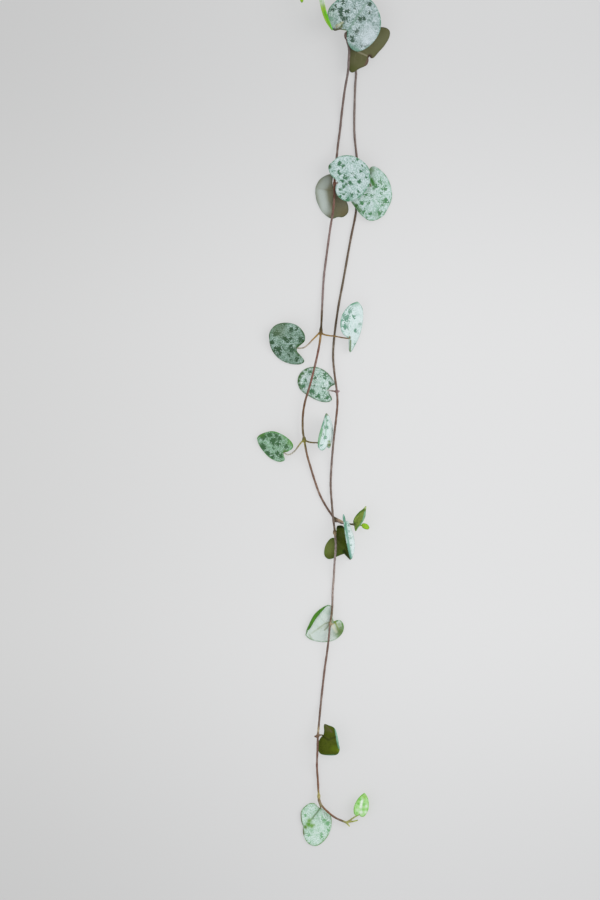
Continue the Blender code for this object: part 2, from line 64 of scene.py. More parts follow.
LONG_STALKS = [
    [(8.3, 165.6, 3.3), (9.2, 165.2, 3.8), (10.1, 164.2, 4), (11, 163.2, 3.9)],
    [(11.5, 102.9, 0.6), (13.6, 103.4, 1), (15.2, 103.5, 1.6), (16.6, 103.3, 2.9), (17.3, 101.9, 2.9)],
    [(2.9, 16, 2.6), (1.2, 16.4, 1.9), (-0.6, 16.6, 1), (-1.8, 16.9, 0.9)],
    [(2.1, -43.3, 3.2), (2, -44.5, 2.5), (2.1, -45.4, 1.4), (2.6, -46.2, 1.2)],
    [(0, -81.5, 3.1), (0.9, -81.6, 2.5), (1.6, -81.2, 1.6), (0.6, -81.6, 1.5)],
    [(-5.1, -128.5, 4.4), (-4, -128, 3.8), (-2.7, -128.3, 2.3), (-1.8, -128.8, 2.6)],
    [(-4.7, -153.7, 2.2), (-4.9, -155.3, 2.5), (-4.3, -157.2, 2.5), (-3.9, -158.8, 1.5),
        (-4.7, -159.7, 1.3)],
    [(6.8, -164.8, 1.8), (8.4, -163.8, 1.8), (10.5, -162.4, 1.7), (12.2, -161.4, 2.9), (12.5, -160.4, 3)],
    [(8.9, 186, 1.4), (5, 187.4, 3.4), (0, 187.8, 5.2), (-5, 188.3, 6.6), (-10.6, 189.2, 7.4),
        (-12.3, 188.6, 7.2), (-12.4, 186.5, 6.6), (-12.3, 185.4, 6.5)],
    [(-4.4, 188.3, 6.5), (-5, 186, 8.2), (-4.5, 182.7, 9.5), (-4, 181.2, 9.8)],
    [(6.8, -164.8, 1.8), (8.3, -166.5, 1.6)],
    [(6.8, -164.8, 1.8), (9.4, -164.4, 1.6), (11.8, -163.8, 1.5)],
]
LONG_SWELLINGS = [
    ((8.2, 165.6, 3.3), (0.9, 1.1, 0.9)), ((11.5, 102.9, 0.9), (0.8, 1.1, 0.8)),
    ((2.9, 16, 2.6), (0.75, 1, 0.75)), ((3.6, 16.3, 2.8), (0.7, 0.45, 0.5)),
    ((2, -43, 3.2), (0.9, 1.3, 0.85)), ((0, -81.4, 3.1), (0.8, 1.1, 0.75)),
    ((-5.2, -128.5, 4.4), (0.8, 1, 0.75)), ((-6.1, -128.6, 4.4), (0.7, 0.5, 0.5)),
    ((-4.7, -153.7, 2.2), (0.8, 1.3, 0.75)), ((8.9, 186.2, 1.4), (0.8, 1.1, 0.75)),
    ((6.8, -164.8, 1.8), (0.75, 0.6, 0.6)), ((-4.4, 188.3, 6.5), (0.6, 0.5, 0.5)),
]
# Where the stem changes colour, and where a highlight is painted on it: place, reach in millimetres, colour
LONG_TINTS = [
    ((9.5, 160, 2), 14, (128, 112, 108)), ((10.5, 135, 0.6), 22, (132, 118, 112)),
    ((11, 92, 0.6), 12, (92, 68, 48)), ((5.6, 63, 0.6), 18, (108, 92, 70)),
    ((1.5, 35, 0.8), 14, (112, 98, 76)), ((2.6, 8, 2.5), 10, (132, 96, 78)),
    ((0.6, -14, 1.2), 12, (138, 120, 112)), ((1.5, -36, 2.5), 8, (118, 100, 86)),
    # The two pale lilac tints on the next line are a painted highlight down the strand, not the stem's own
    # colour
    ((1.9, -52, 3), 8, (176, 162, 160)), ((1.2, -65, 0.8), 9, (178, 162, 154)),
    ((0.8, -78, 3), 3.4, (112, 92, 52)), ((-0.3, -86, 3), 3.6, (150, 124, 116)),
    ((-2.3, -100, 0.6), 12, (134, 104, 92)), ((-5.3, -138, 3), 9, (132, 92, 76)),
    ((-5, -149, 1.5), 6, (136, 92, 62)), ((-1.5, -160, 3), 5, (142, 96, 60)),
    ((2.9, 16, 2.6), 1.6, (150, 118, 112)), ((3.7, 16.3, 2.8), 0.8, (182, 152, 160)),
    ((2, -43, 3.2), 1.6, (120, 98, 50)), ((2.2, -43.6, 3.9), 0.7, (204, 180, 140)),
    ((0.3, -81.3, 3), 1, (196, 176, 140)), ((1.4, -81.2, 1.9), 1.2, (208, 208, 166)),
    ((-5.2, -126, 4), 1.6, (196, 178, 140)), ((-5.2, -128.4, 4.4), 1.2, (128, 96, 70)),
    ((-3.4, -128.1, 3.2), 1.2, (110, 110, 60)), ((-4.7, -153.4, 2.2), 1.7, (196, 190, 112)),
    ((-4.4, -157.6, 2.4), 1.6, (168, 166, 110)), ((7.2, -164.8, 1.8), 1.7, (170, 178, 70)),
    ((8.2, -166.2, 1.6), 1.4, (200, 210, 120)), ((11, -164, 1.5), 2.4, (196, 210, 96)),
    ((11.6, -161.8, 2.2), 2, (190, 206, 120)), ((0, 187.8, 5.2), 8, (132, 134, 70)),
    ((-10, 189, 7.2), 5, (140, 164, 60)), ((-4.6, 185, 8.6), 2.6, (150, 180, 60)),
    ((15, 103.5, 1.6), 2, (128, 122, 70)), ((-0.6, 16.6, 1), 1.6, (212, 208, 202)),
]
BARK_BROWN = (116, 92, 78)


def paint(red, green, blue):
    """A colour given in screen values from 0 to 255, made linear for the shaders."""
    return tuple(((c / 255 + 0.055) / 1.055) ** 2.4 if c > 10 else c / 3295 for c in (red, green, blue))


def laid(point):
    """A place on the plan in millimetres, in metres from the origin."""
    return (Vector(point) - PLAN_MIDDLE) * MM


def smooth_route(points, samples=10):
    """Many points on one smooth curve through a few."""
    points = [Vector(p) for p in points]
    ends = [2 * points[0] - points[1], *points, 2 * points[-1] - points[-2]]
    line = []
    for before, start, end, after in zip(ends, ends[1:], ends[2:], ends[3:]):
        line += interpolate_bezier(
            start, start + (end - before) / 6, end - (after - start) / 6, end, samples + 1
        )[:-1]
    return [*line, points[-1]]


def only(piece):
    """Makes a piece the one selected and active object."""
    bpy.ops.object.select_all(action="DESELECT")
    piece.select_set(True)
    bpy.context.view_layer.objects.active = piece


def finished(piece, *modifiers):
    """Adds modifiers to a piece and applies them."""
    only(piece)
    for kind, settings in modifiers:
        added = piece.modifiers.new(kind.lower(), kind)
        for setting, value in settings.items():
            setattr(added, setting, value)
        bpy.ops.object.modifier_apply(modifier=added.name)


def points_of(mesh, name="position"):
    """The place of each point of a mesh, or another vector kept for it."""
    values = np.empty(len(mesh.vertices) * 3, np.float32)
    mesh.attributes[name].data.foreach_get("vector", values)
    return values.reshape(-1, 3).astype(float)


def mark(mesh, name, values):
    """Stores a number or a colour for each point of a mesh."""
    kind = "FLOAT" if values.ndim == 1 else "FLOAT_COLOR"
    made = mesh.attributes.new(name, kind, "POINT")
    made.data.foreach_set("value" if kind == "FLOAT" else "color", values.astype(np.float32).ravel())


def tinted(places, tints, start):
    """Colours laid one over the other, each strongest at its own place."""
    colours = np.tile([*start, 1.0], (len(places), 1))
    for place, reach, colour in tints:
        share = np.exp(-((np.linalg.norm(places - np.array(place), axis=1) / reach) ** 2))
        colours[:, :3] += (np.array(paint(*colour)) - colours[:, :3]) * share[:, None]
    return colours


# In millimetres: a stalk's radius where it starts and ends, the grain of the melted
# skin and the gap under a stem; then shares of a radius
STALK_THICKNESS = (0.42, 0.34)
STEM_GRAIN = 0.16
STEM_LIFT = 0.03
STEM_UNEVENNESS = 0.05
SWELLING_SHARE = 0.96


def strand_tubes(name, strand, stalks, thickness):
    """A strand and its stalks as round tubes along one curve each."""
    curve = bpy.data.curves.new(name, "CURVE")
    curve.dimensions = "3D"
    curve.bevel_depth = MM
    curve.bevel_resolution = 4
    curve.use_fill_caps = True
    for order, route in enumerate([strand, *stalks]):
        line = smooth_route(route)
        spline = curve.splines.new("POLY")
        spline.points.add(len(line) - 1)
        first, last = thickness if order == 0 else STALK_THICKNESS
        for index, (point, spot) in enumerate(zip(spline.points, line)):
            wide = first + (last - first) * index / (len(line) - 1)
            point.radius = wide * (1 + STEM_UNEVENNESS * sin(index * 0.9 + order))
            spot.z = max(spot.z, point.radius + STEM_LIFT)
            point.co = (*laid(spot), 1)
    return curve


def grown_stem(name, strand, stalks, swellings, thickness, tints):
    """A strand with its stalks and swellings, melted into one skin."""
    curve = strand_tubes(name, strand, stalks, thickness)
    bpy.ops.object.select_all(action="DESELECT")
    stem = bpy.data.objects.new(name, curve)
    bpy.context.scene.collection.objects.link(stem)
    only(stem)
    bpy.ops.object.convert(target="MESH")
    stem = bpy.context.object
    knobs = []
    for centre, half_sizes in swellings:
        bpy.ops.mesh.primitive_ico_sphere_add(
            subdivisions=3, radius=MM, location=laid(centre), scale=[s * SWELLING_SHARE for s in half_sizes]
        )
        knobs.append(bpy.context.object)
    only(stem)
    for knob in knobs:
        knob.select_set(True)
    bpy.ops.object.join()
    finished(
        stem,
        ("REMESH", dict(mode="VOXEL", voxel_size=STEM_GRAIN * MM)),
        ("CORRECTIVE_SMOOTH", dict(factor=0.5, iterations=10, use_only_smooth=True)),
    )
    mesh = stem.data
    mesh.name = name
    places = points_of(mesh) / MM + np.array(PLAN_MIDDLE)
    mark(mesh, "tint", tinted(places, tints, paint(*BARK_BROWN)))
    mesh.shade_smooth()
    return stem


def placed_node(tree, kind, feeds=None, **settings):
    """A shader node with its settings, its sockets fed by links or values."""
    made = tree.nodes.new(kind)
    for setting, value in settings.items():
        setattr(made, setting, value)
    for socket, value in (feeds or {}).items():
        if isinstance(value, bpy.types.NodeSocket):
            tree.links.new(value, made.inputs[socket])
        else:
            made.inputs[socket].default_value = value
    return made


def blend_colour(tree, share, under, over, mode="MIX"):
    """One colour laid over another by a share."""
    made = placed_node(
        tree, "ShaderNodeMix", {0: share, 6: under, 7: over}, data_type="RGBA", blend_type=mode
    )
    return made.outputs[2]


def sum_of(tree, operation, *values):
    """The result of one step of arithmetic."""
    made = placed_node(tree, "ShaderNodeMath", dict(enumerate(values)), operation=operation)
    return made.outputs[0]


def eased(tree, value, low, high, to_low=0.0, to_high=1.0):
    """A value carried smoothly from one range to another."""
    feeds = {"Value": value, "From Min": low, "From Max": high, "To Min": to_low, "To Max": to_high}
    made = placed_node(tree, "ShaderNodeMapRange", feeds, interpolation_type="SMOOTHSTEP")
    return made.outputs["Result"]


def rough_pattern(tree, place, scale, detail=2.0, roughness=0.55):
    """A cloudy pattern of the given fineness."""
    feeds = {"Vector": place, "Scale": scale, "Detail": detail, "Roughness": roughness}
    return placed_node(tree, "ShaderNodeTexNoise", feeds).outputs["Fac"]


def new_finish(name):
    """An empty material, its tree and its Principled shader."""
    material = bpy.data.materials.new(name)
    material.use_nodes = True
    tree = material.node_tree
    return material, tree, tree.nodes["Principled BSDF"]


def give_relief(tree, shader, height, strength, depth):
    """Fine relief on a skin, from a height value."""
    bump = placed_node(tree, "ShaderNodeBump", {"Height": height, "Strength": strength, "Distance": depth})
    tree.links.new(bump.outputs["Normal"], shader.inputs["Normal"])


def stem_finish():
    """Waxy brown skin with fine streaks along the stem and paler pores."""
    material, tree, shader = new_finish("stem_skin")
    tint = placed_node(tree, "ShaderNodeAttribute", attribute_name="tint").outputs["Color"]
    place = placed_node(tree, "ShaderNodeTexCoord").outputs["Object"]
    stretched = placed_node(
        tree, "ShaderNodeMapping", {"Vector": place, "Scale": (4500, 700, 4500)}
    ).outputs["Vector"]
    streaks = rough_pattern(tree, stretched, 1.0, 3.0)
    blotches = rough_pattern(tree, place, 420.0, 2.0)
    pores = rough_pattern(tree, place, 5200.0, 1.0)
    darker = blend_colour(tree, eased(tree, streaks, 0.35, 0.7), tint, (0.42, 0.36, 0.34, 1), "MULTIPLY")
    dusty = blend_colour(tree, eased(tree, blotches, 0.5, 0.75, 0, 0.35), darker, (*paint(176, 160, 150), 1))
    freckled = blend_colour(tree, eased(tree, pores, 0.62, 0.74, 0, 0.4), dusty, (*paint(190, 170, 140), 1))
    tree.links.new(freckled, shader.inputs["Base Color"])
    tree.links.new(eased(tree, streaks, 0.3, 0.75, 0.42, 0.62), shader.inputs["Roughness"])
    shader.inputs["Specular IOR Level"].default_value = 0.45
    height = sum_of(tree, "ADD", streaks, sum_of(tree, "MULTIPLY", pores, 0.4))
    give_relief(tree, shader, height, strength=0.35, depth=0.00006)
    return material


stem_skin = stem_finish()
long_strand = grown_stem("strand_long", LONG_ROUTE, LONG_STALKS, LONG_SWELLINGS, (0.55, 0.5), LONG_TINTS)
long_strand.data.materials.append(stem_skin)
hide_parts("stem_long")
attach(long_strand, "root")

# The short strand: it leaves the main stem under the crown leaves and lies beside
# the long one as far as the sixth node, where it ends in a small side shoot. The
# same wiry stem, redder in the middle, with golden leaf stalks at its nodes.

SHORT_ROUTE = [
    (7.2, 163.2, 5.1), (8, 159.6, 5.4), (7.8, 154.9, 5.4), (7.5, 150.1, 5), (6.2, 142.8, 3),
    (5, 133.6, 1), (4.2, 126, 0.6), (3.4, 120.2, 1.2), (2.8, 114.5, 2.6), (2.1, 108.4, 3.6),
    (1.9, 103.3, 3.9), (1.8, 97.1, 3.7), (1.1, 90.7, 3.3), (0, 84, 2), (-1.7, 71.4, 0.6), (-2.7, 63, 0.6),
    (-3.3, 51.7, 1.4), (-3.8, 41.6, 2.6), (-4.5, 35.7, 2.8), (-6, 28.4, 3), (-8.3, 19.3, 3),
    (-10.5, 11.8, 2.8), (-11.4, 5.8, 2.6), (-11.4, -0.2, 2.9), (-10.8, -4.2, 3.2), (-9.7, -10.2, 2.2),
    (-8.2, -15.5, 1), (-6.5, -21, 0.6), (-4.4, -26.9, 0.6), (-2, -31.5, 0.6), (0.8, -35.8, 0.6),
    (2.7, -38.2, 1.2),
]
SHORT_STALKS = [
    [(7.2, 163.2, 5.1), (6.3, 164.9, 5.2), (6.4, 166.4, 5.6), (7.4, 167.4, 7), (8.2, 168.6, 7.4)],
    [(1.9, 103.3, 3.9), (2.6, 103.6, 4.8), (3.4, 103.7, 5.5), (4.6, 103.9, 5.6)],
    [(1.9, 103.3, 3.9), (2, 101.8, 3.6), (2.1, 100.9, 2.6), (1.6, 100.3, 1.9), (0.8, 100.2, 1.7)],
    [(-3.8, 41.6, 2.6), (-5.6, 39.6, 2.7), (-7.7, 37.5, 2.6), (-9.1, 36, 2.5), (-11.2, 34.5, 2.4),
        (-13.9, 34.4, 2.9), (-15.2, 34.7, 3)],
    [(-3.8, 41.6, 2.6), (-2.8, 40.2, 3), (-0.3, 39.6, 3.3), (1.8, 39.4, 3.5), (4.9, 38.8, 4.2),
        (7.8, 38.5, 5.6), (8.3, 39.6, 5.9)],
    [(-10.8, -4.2, 3.2), (-12, -5.1, 3.2), (-13.1, -6.5, 3), (-15, -9, 2.7), (-17.4, -10.4, 2.6),
        (-19.6, -9.4, 3.3), (-20.6, -8.8, 3.3)],
    [(-10.8, -4.2, 3.2), (-9, -5, 3.5), (-7.2, -5.3, 3.8), (-5.1, -5.4, 4.2), (-3, -6.2, 4.6),
        (-1.3, -6.7, 5.4), (-1.3, -5.6, 5.7)],
    [(2.7, -38.2, 1.2), (3.4, -38.5, 3.4), (4.2, -38.9, 5.9), (5, -39.2, 7), (6.3, -39.3, 7.4),
        (6.7, -40.4, 7.2)],
    [(2.7, -38.2, 1.2), (4.5, -38.8, 2.1), (8.1, -39.4, 2.2), (9.4, -39.6, 2.6), (10.2, -39.7, 3.7),
        (10.7, -39, 4)],
    [(8.1, -39.4, 2.2), (9.9, -39.8, 2.4), (11.6, -40.1, 2.5), (13.1, -40, 2.9), (13.8, -40.2, 3.1)],
    [(1.8, -36.7, 1), (4, -37.8, 1.9), (6.2, -38.9, 2.4)],
]
SHORT_SWELLINGS = [
    ((1.9, 103.3, 3.9), (0.85, 1.2, 0.8)), ((-3.8, 41.9, 2.6), (0.8, 1.6, 0.75)),
    ((-10.9, -3.9, 3.2), (0.9, 1.4, 0.85)), ((6.8, 165.9, 5.3), (0.95, 1.25, 0.75)),
    ((2.6, -38.1, 1.3), (0.95, 0.85, 0.8)), ((9.6, -39.6, 2.5), (0.65, 0.55, 0.5)),
]
SHORT_TINTS = [
    ((7.4, 152, 5.2), 14, (128, 114, 112)), ((4.6, 130, 0.6), 14, (124, 104, 98)),
    ((1.9, 103, 3.9), 7, (120, 72, 46)), ((1.4, 94, 3.6), 6, (116, 66, 44)),
    ((-0.5, 82, 2), 8, (152, 128, 124)), ((-2.7, 60, 0.6), 14, (152, 132, 130)),
    ((-3.6, 47, 2), 4, (92, 70, 30)), ((-5, 33, 2.8), 7, (132, 84, 68)),
    ((-7.6, 22, 3), 9, (140, 92, 76)), ((-11, 9, 2.8), 6, (120, 82, 44)),
    ((-11.4, 0.5, 2.9), 4.4, (124, 102, 56)), ((-9.4, -11, 2.2), 5, (146, 110, 78)),
    ((-6, -23, 0.6), 8, (138, 104, 84)), ((-1, -33, 0.6), 4, (116, 84, 64)),
    ((-3.8, 42.2, 2.6), 2.4, (88, 68, 12)), ((-6.4, 38.8, 2.7), 2.8, (196, 152, 52)),
    # The two pale tints on the next line are a painted highlight on the stalk of the third node's left leaf
    ((-9.6, 35.8, 2.5), 2.4, (206, 192, 172)), ((-12.4, 34.5, 2.5), 2.2, (196, 188, 168)),
    ((-1, 39.7, 3.2), 2.6, (192, 152, 56)), ((3, 39.2, 3.8), 3, (172, 132, 58)),
    ((7, 38.6, 5.2), 2.2, (150, 124, 70)), ((-10.8, -4.2, 3.2), 2.2, (112, 108, 26)),
    ((-12.6, -5.9, 3.1), 2, (196, 192, 66)), ((-16.8, -9.8, 2.7), 3.6, (222, 222, 206)),
    ((-8, -5.2, 3.7), 2, (150, 132, 56)), ((-5, -5.5, 4.2), 2.2, (138, 120, 84)),
    ((2.4, -37.4, 1), 1, (84, 90, 30)), ((4, -38.2, 2.2), 1, (214, 186, 160)),
    ((5.4, -38.8, 2.6), 1.4, (206, 178, 150)), ((4.6, -37.6, 2.4), 0.6, (150, 140, 60)),
    ((9.4, -39.6, 2.5), 1.6, (88, 92, 40)), ((12.4, -40.1, 2.8), 1.4, (170, 196, 90)),
    ((-3.8, 43, 2.6), 2.2, (70, 54, 10)), ((6.2, 165.6, 5.3), 1.6, (132, 106, 96)),
    ((7, 167.2, 6.6), 1, (92, 100, 70)),
]

short_strand = grown_stem(
    "strand_short", SHORT_ROUTE, SHORT_STALKS, SHORT_SWELLINGS, (0.56, 0.5), SHORT_TINTS
)
short_strand.data.materials.append(stem_skin)
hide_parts("stem_short")
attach(short_strand, "root")

# The crown: the largest leaf lies over both strands, silver side up, and another
# lies under them with its olive back up. Each is one fleshy heart-shaped blade,
# thicker in the middle than at its rounded rim, growing on its own short stalk.

# In millimetres: a blade's thickness in the middle, the spacing of its mesh, with the
# fewest rows and columns it may have, its gap to the table, the least height of its
# middle layer and how softly it settles on that
BLADE_THICKNESS = 0.95
SKIN_SPACING = 0.62
FEWEST_ROWS, FEWEST_COLUMNS = 12, 5
FLOOR_CLEARANCE = 0.02
LOWEST_MIDDLE = BLADE_THICKNESS / 2 - 0.03
SETTLING = 0.12
# Usual height of the waves and of the main vein in millimetres, waves to a millimetre,
# and the vein's width as a share of half the blade
WAVE_HEIGHT = 0.5
RIB_HEIGHT = -0.3
WAVE_FINENESS = 0.16
RIB_WIDTH = 0.07

# How a leaf is written down, in millimetres on the plan: heights are those of its stalk
# end, tip, left and right margin, and left and right run from the tip to the stalk.
# patches are dark marks as place and reach. washes are colours as place, reach, colour
# and strength, and strokes are the same along a line. rib and waves are the heights of
# its main vein and waves, and bend shifts its midrib sideways. roll says where the right
# margin turns over, as two shares of the length counted from the tip, then how wide a
# strip turns and the radius of the fold.


def margin_rows(leaf):
    """Both margins of a blade as evenly spaced points from tip to stalk, and its columns to a side."""
    routes = [
        smooth_route([(*p, 0) for p in (leaf["tip"], *leaf[side], leaf["stalk"])])
        for side in ("left", "right")
    ]
    longest = max(sum((b - a).length for a, b in zip(r, r[1:])) for r in routes)
    wide = max((a - b).length for a in routes[0] for b in routes[1]) / 2
    rows = max(FEWEST_ROWS, round(longest / SKIN_SPACING))
    margins = []
    for route in routes:
        line = np.array(route)
        along = np.append(0, np.cumsum(np.linalg.norm(np.diff(line, axis=0), axis=1)))
        steps = np.linspace(0, along[-1], rows + 1)
        margins.append(np.stack([np.interp(steps, along, line[:, axis]) for axis in (0, 1)], axis=1))
    return margins, max(FEWEST_COLUMNS, round(wide / SKIN_SPACING))


def settled(points, leaf, seed):
    """A middle layer given its waves and main vein, and kept above the table."""
    waves = [
        noise.noise(Vector((x * WAVE_FINENESS, y * WAVE_FINENESS, seed * 7.3)))
        for x, y, _ in points.reshape(-1, 3)
    ]
    points[:, :, 2] += np.array(waves).reshape(points.shape[:2]) * leaf.get("waves", WAVE_HEIGHT)
    across = np.abs(np.linspace(-1, 1, points.shape[1]))
    fading = np.linspace(1, 0.2, points.shape[0])[:, None]
    points[:, :, 2] += leaf.get("rib", RIB_HEIGHT) * np.exp(-((across / RIB_WIDTH) ** 2)) * fading
    above = (points[:, :, 2] - LOWEST_MIDDLE) / SETTLING
    points[:, :, 2] = LOWEST_MIDDLE + np.logaddexp(0, above) * SETTLING
    return points


def heart_grid(leaf, seed):
    """Middle layer of a blade, in rows from stalk to tip, with the same rows laid flat."""
    stalk_z, tip_z, left_z, right_z = leaf["heights"]
    stalk, tip = Vector((*leaf["stalk"], stalk_z)), Vector((*leaf["tip"], tip_z))
    margins, columns = margin_rows(leaf)
    rows = len(margins[0]) - 1
    points, flat = [], []
    out = np.linspace(0, 1, columns + 1)
    for row in range(rows, -1, -1):
        share = row / rows
        rib = np.array(stalk.lerp(tip, (1 - share) ** 0.8))
        rib[:2] += np.array(leaf.get("bend", (0, 0))) * sin(pi * share)
        bulge = max(0, sin(pi * share)) ** 0.6
        halves = []
        for side, margin, edge_z in zip(("left", "right"), margins, (left_z, right_z)):
            rise = edge_z - (stalk_z + tip_z) / 2
            half = np.empty((columns + 1, 3))
            half[:, :2] = rib[:2] + (margin[row] - rib[:2]) * out[:, None]
            half[:, 2] = rib[2] + rise * bulge * out**1.3
            if side == "right" and "roll" in leaf:
                half = rolled(half, share, *leaf["roll"])
            gaps = np.linalg.norm(np.diff(half, axis=0), axis=1)
            reach = np.append(0, np.cumsum(gaps))
            toward = margin[row] - rib[:2]
            toward = toward / max(np.linalg.norm(toward), 1e-6)
            halves.append((half, rib[:2] + toward * reach[:, None]))
        (left, left_flat), (right, right_flat) = halves
        points.append(np.vstack([left[:0:-1], right]))
        flat.append(np.vstack([left_flat[:0:-1], right_flat]))
    return settled(np.array(points), leaf, seed), np.array(flat), margins


# Each pair of side veins: where it ends along the margin, counted from the tip, and
# where it starts along the main vein, counted from the stalk, both as shares.
# Then the width in millimetres and the strength of the main vein and of a side vein
SIDE_VEINS = ((0.22, 0.42), (0.4, 0.2), (0.58, 0.06), (0.76, 0.0))
MAIN_VEIN = (0.34, 1.0)
SIDE_VEIN = (0.22, 0.5)


def side_veins(leaf, margins):
    """The main vein and the side veins that fan out from the stalk, as lines on the flat skin."""
    stalk, tip = np.array(leaf["stalk"]), np.array(leaf["tip"])
    veins = [(stalk, stalk + (tip - stalk) * 0.96)]
    for margin in margins:
        for share, start in SIDE_VEINS:
            end = margin[round(share * (len(margin) - 1))]
            root = stalk + (tip - stalk) * start
            veins.append((root, root + (end - root) * 0.82))
    return veins


def apart_from(places, start, end):
    """How far each place is from a line's nearest point, and how far along the line that is."""
    line = end - start
    share = np.clip((places - start) @ line / max(line @ line, 1e-9), 0, 1)
    return np.linalg.norm(places - (start + share[:, None] * line), axis=1), share


# Thickness of a blade's rim as a share of its middle, how close points count as one, in
# metres, and a distance from the rim beyond which none is coloured, in millimetres
RIM_SHARE = 0.5
SAME_POINT = 0.00001
FAR_FROM_RIM = 9.0


def blade_sheet(name, points, flat):
    """A sheet in the shape of a blade's middle layer that keeps its flat places and its fleshiness."""
    rows, columns = points.shape[0] - 1, points.shape[1] - 1
    bpy.ops.object.select_all(action="DESELECT")
    bpy.ops.mesh.primitive_grid_add(x_subdivisions=columns, y_subdivisions=rows, size=MM)
    piece = bpy.context.object
    mesh = piece.data
    piece.name = mesh.name = name
    spots = (points.reshape(-1, 3) - np.array(PLAN_MIDDLE)) * MM
    mesh.vertices.foreach_set("co", spots.astype(np.float32).ravel())
    skin = np.zeros((len(spots), 3), np.float32)
    skin[:, :2] = flat.reshape(-1, 2)
    mesh.attributes.new("skin", "FLOAT_VECTOR", "POINT").data.foreach_set("vector", skin.ravel())
    fleshy = piece.vertex_groups.new(name="fleshy")
    across = np.abs(np.linspace(-1, 1, columns + 1))
    along = np.linspace(-1, 1, rows + 1)
    fat = np.clip((1 - across[None, :] ** 4) * (1 - along[:, None] ** 8), 0, 1).ravel()
    for index, share in enumerate(fat):
        fleshy.add([index], float(share), "REPLACE")
    only(piece)
    bpy.ops.object.mode_set(mode="EDIT")
    bpy.ops.mesh.select_all(action="SELECT")
    bpy.ops.mesh.remove_doubles(threshold=SAME_POINT)
    bpy.ops.object.mode_set(mode="OBJECT")
    return piece


def washed(places, leaf):
    """The washes and strokes of colour on a blade, weighed where they meet, and their strength."""
    wash, weights = np.zeros((len(places), 4)), np.zeros(len(places))
    strokes = [(x, y, x, y, *rest) for x, y, *rest in leaf.get("washes", ())] + leaf.get("strokes", [])
    for *ends, reach, colour, strength in strokes:
        apart, _ = apart_from(places, np.array(ends[:2]), np.array(ends[2:]))
        share = np.exp(-((apart / reach) ** 3)) * strength
        wash[:, :3] += share[:, None] ** 2 * np.array(paint(*colour))
        wash[:, 3] = np.maximum(wash[:, 3], share)
        weights += share**2
    wash[:, :3] /= np.maximum(weights, 1e-9)[:, None]
    return wash


def mark_skin(mesh, leaf, places, flat, margins):
    """Stores each point's distance to the rim, and how strongly veins, patches and washes mark it."""
    skin = points_of(mesh, "skin")[:, :2]
    outline = np.vstack([flat[:, 0], flat[::-1, -1]])
    rim = np.full(len(skin), FAR_FROM_RIM)
    for start, end in zip(outline, np.roll(outline, -1, axis=0)):
        rim = np.minimum(rim, apart_from(skin, start, end)[0])
    vein = np.zeros(len(skin))
    for order, (start, end) in enumerate(side_veins(leaf, margins)):
        apart, share = apart_from(skin, start, end)
        wide, strong = MAIN_VEIN if order == 0 else SIDE_VEIN
        vein = np.maximum(vein, np.exp(-((apart / wide) ** 2)) * strong * (1 - share**3))
    patch = np.zeros(len(skin))
    for x, y, reach in leaf.get("patches", ()):
        apart = np.hypot(places[:, 0] - x, places[:, 1] - y)
        patch = np.maximum(patch, np.exp(-((apart / reach) ** 2)))
    mark(mesh, "rim", rim)
    mark(mesh, "vein", vein)
    mark(mesh, "patch", patch)
    mark(mesh, "wash", washed(places[:, :2], leaf))


def grown_blade(node, leaf, top, back, seed):
    """One fleshy blade in place of its CAD node, silver side or back up."""
    points, flat, margins = heart_grid(leaf, seed)
    piece = blade_sheet(node.replace("leaf_", "blade_"), points, flat)
    for material in (top, back):
        piece.data.materials.append(material)
    finished(
        piece,
        ("SOLIDIFY", dict(
            thickness=leaf.get("thickness", BLADE_THICKNESS) * MM, offset=0, vertex_group="fleshy",
            thickness_vertex_group=RIM_SHARE, material_offset=1, material_offset_rim=0,
        )),
        ("SUBSURF", dict(levels=1, render_levels=1)),
    )
    mesh = piece.data
    spots = points_of(mesh)
    spots[:, 2] = np.maximum(spots[:, 2], FLOOR_CLEARANCE * MM)
    mesh.vertices.foreach_set("co", spots.astype(np.float32).ravel())
    mark_skin(mesh, leaf, spots / MM + np.array(PLAN_MIDDLE), flat, margins)
    mesh.shade_smooth()
    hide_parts(node)
    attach(piece, "root")


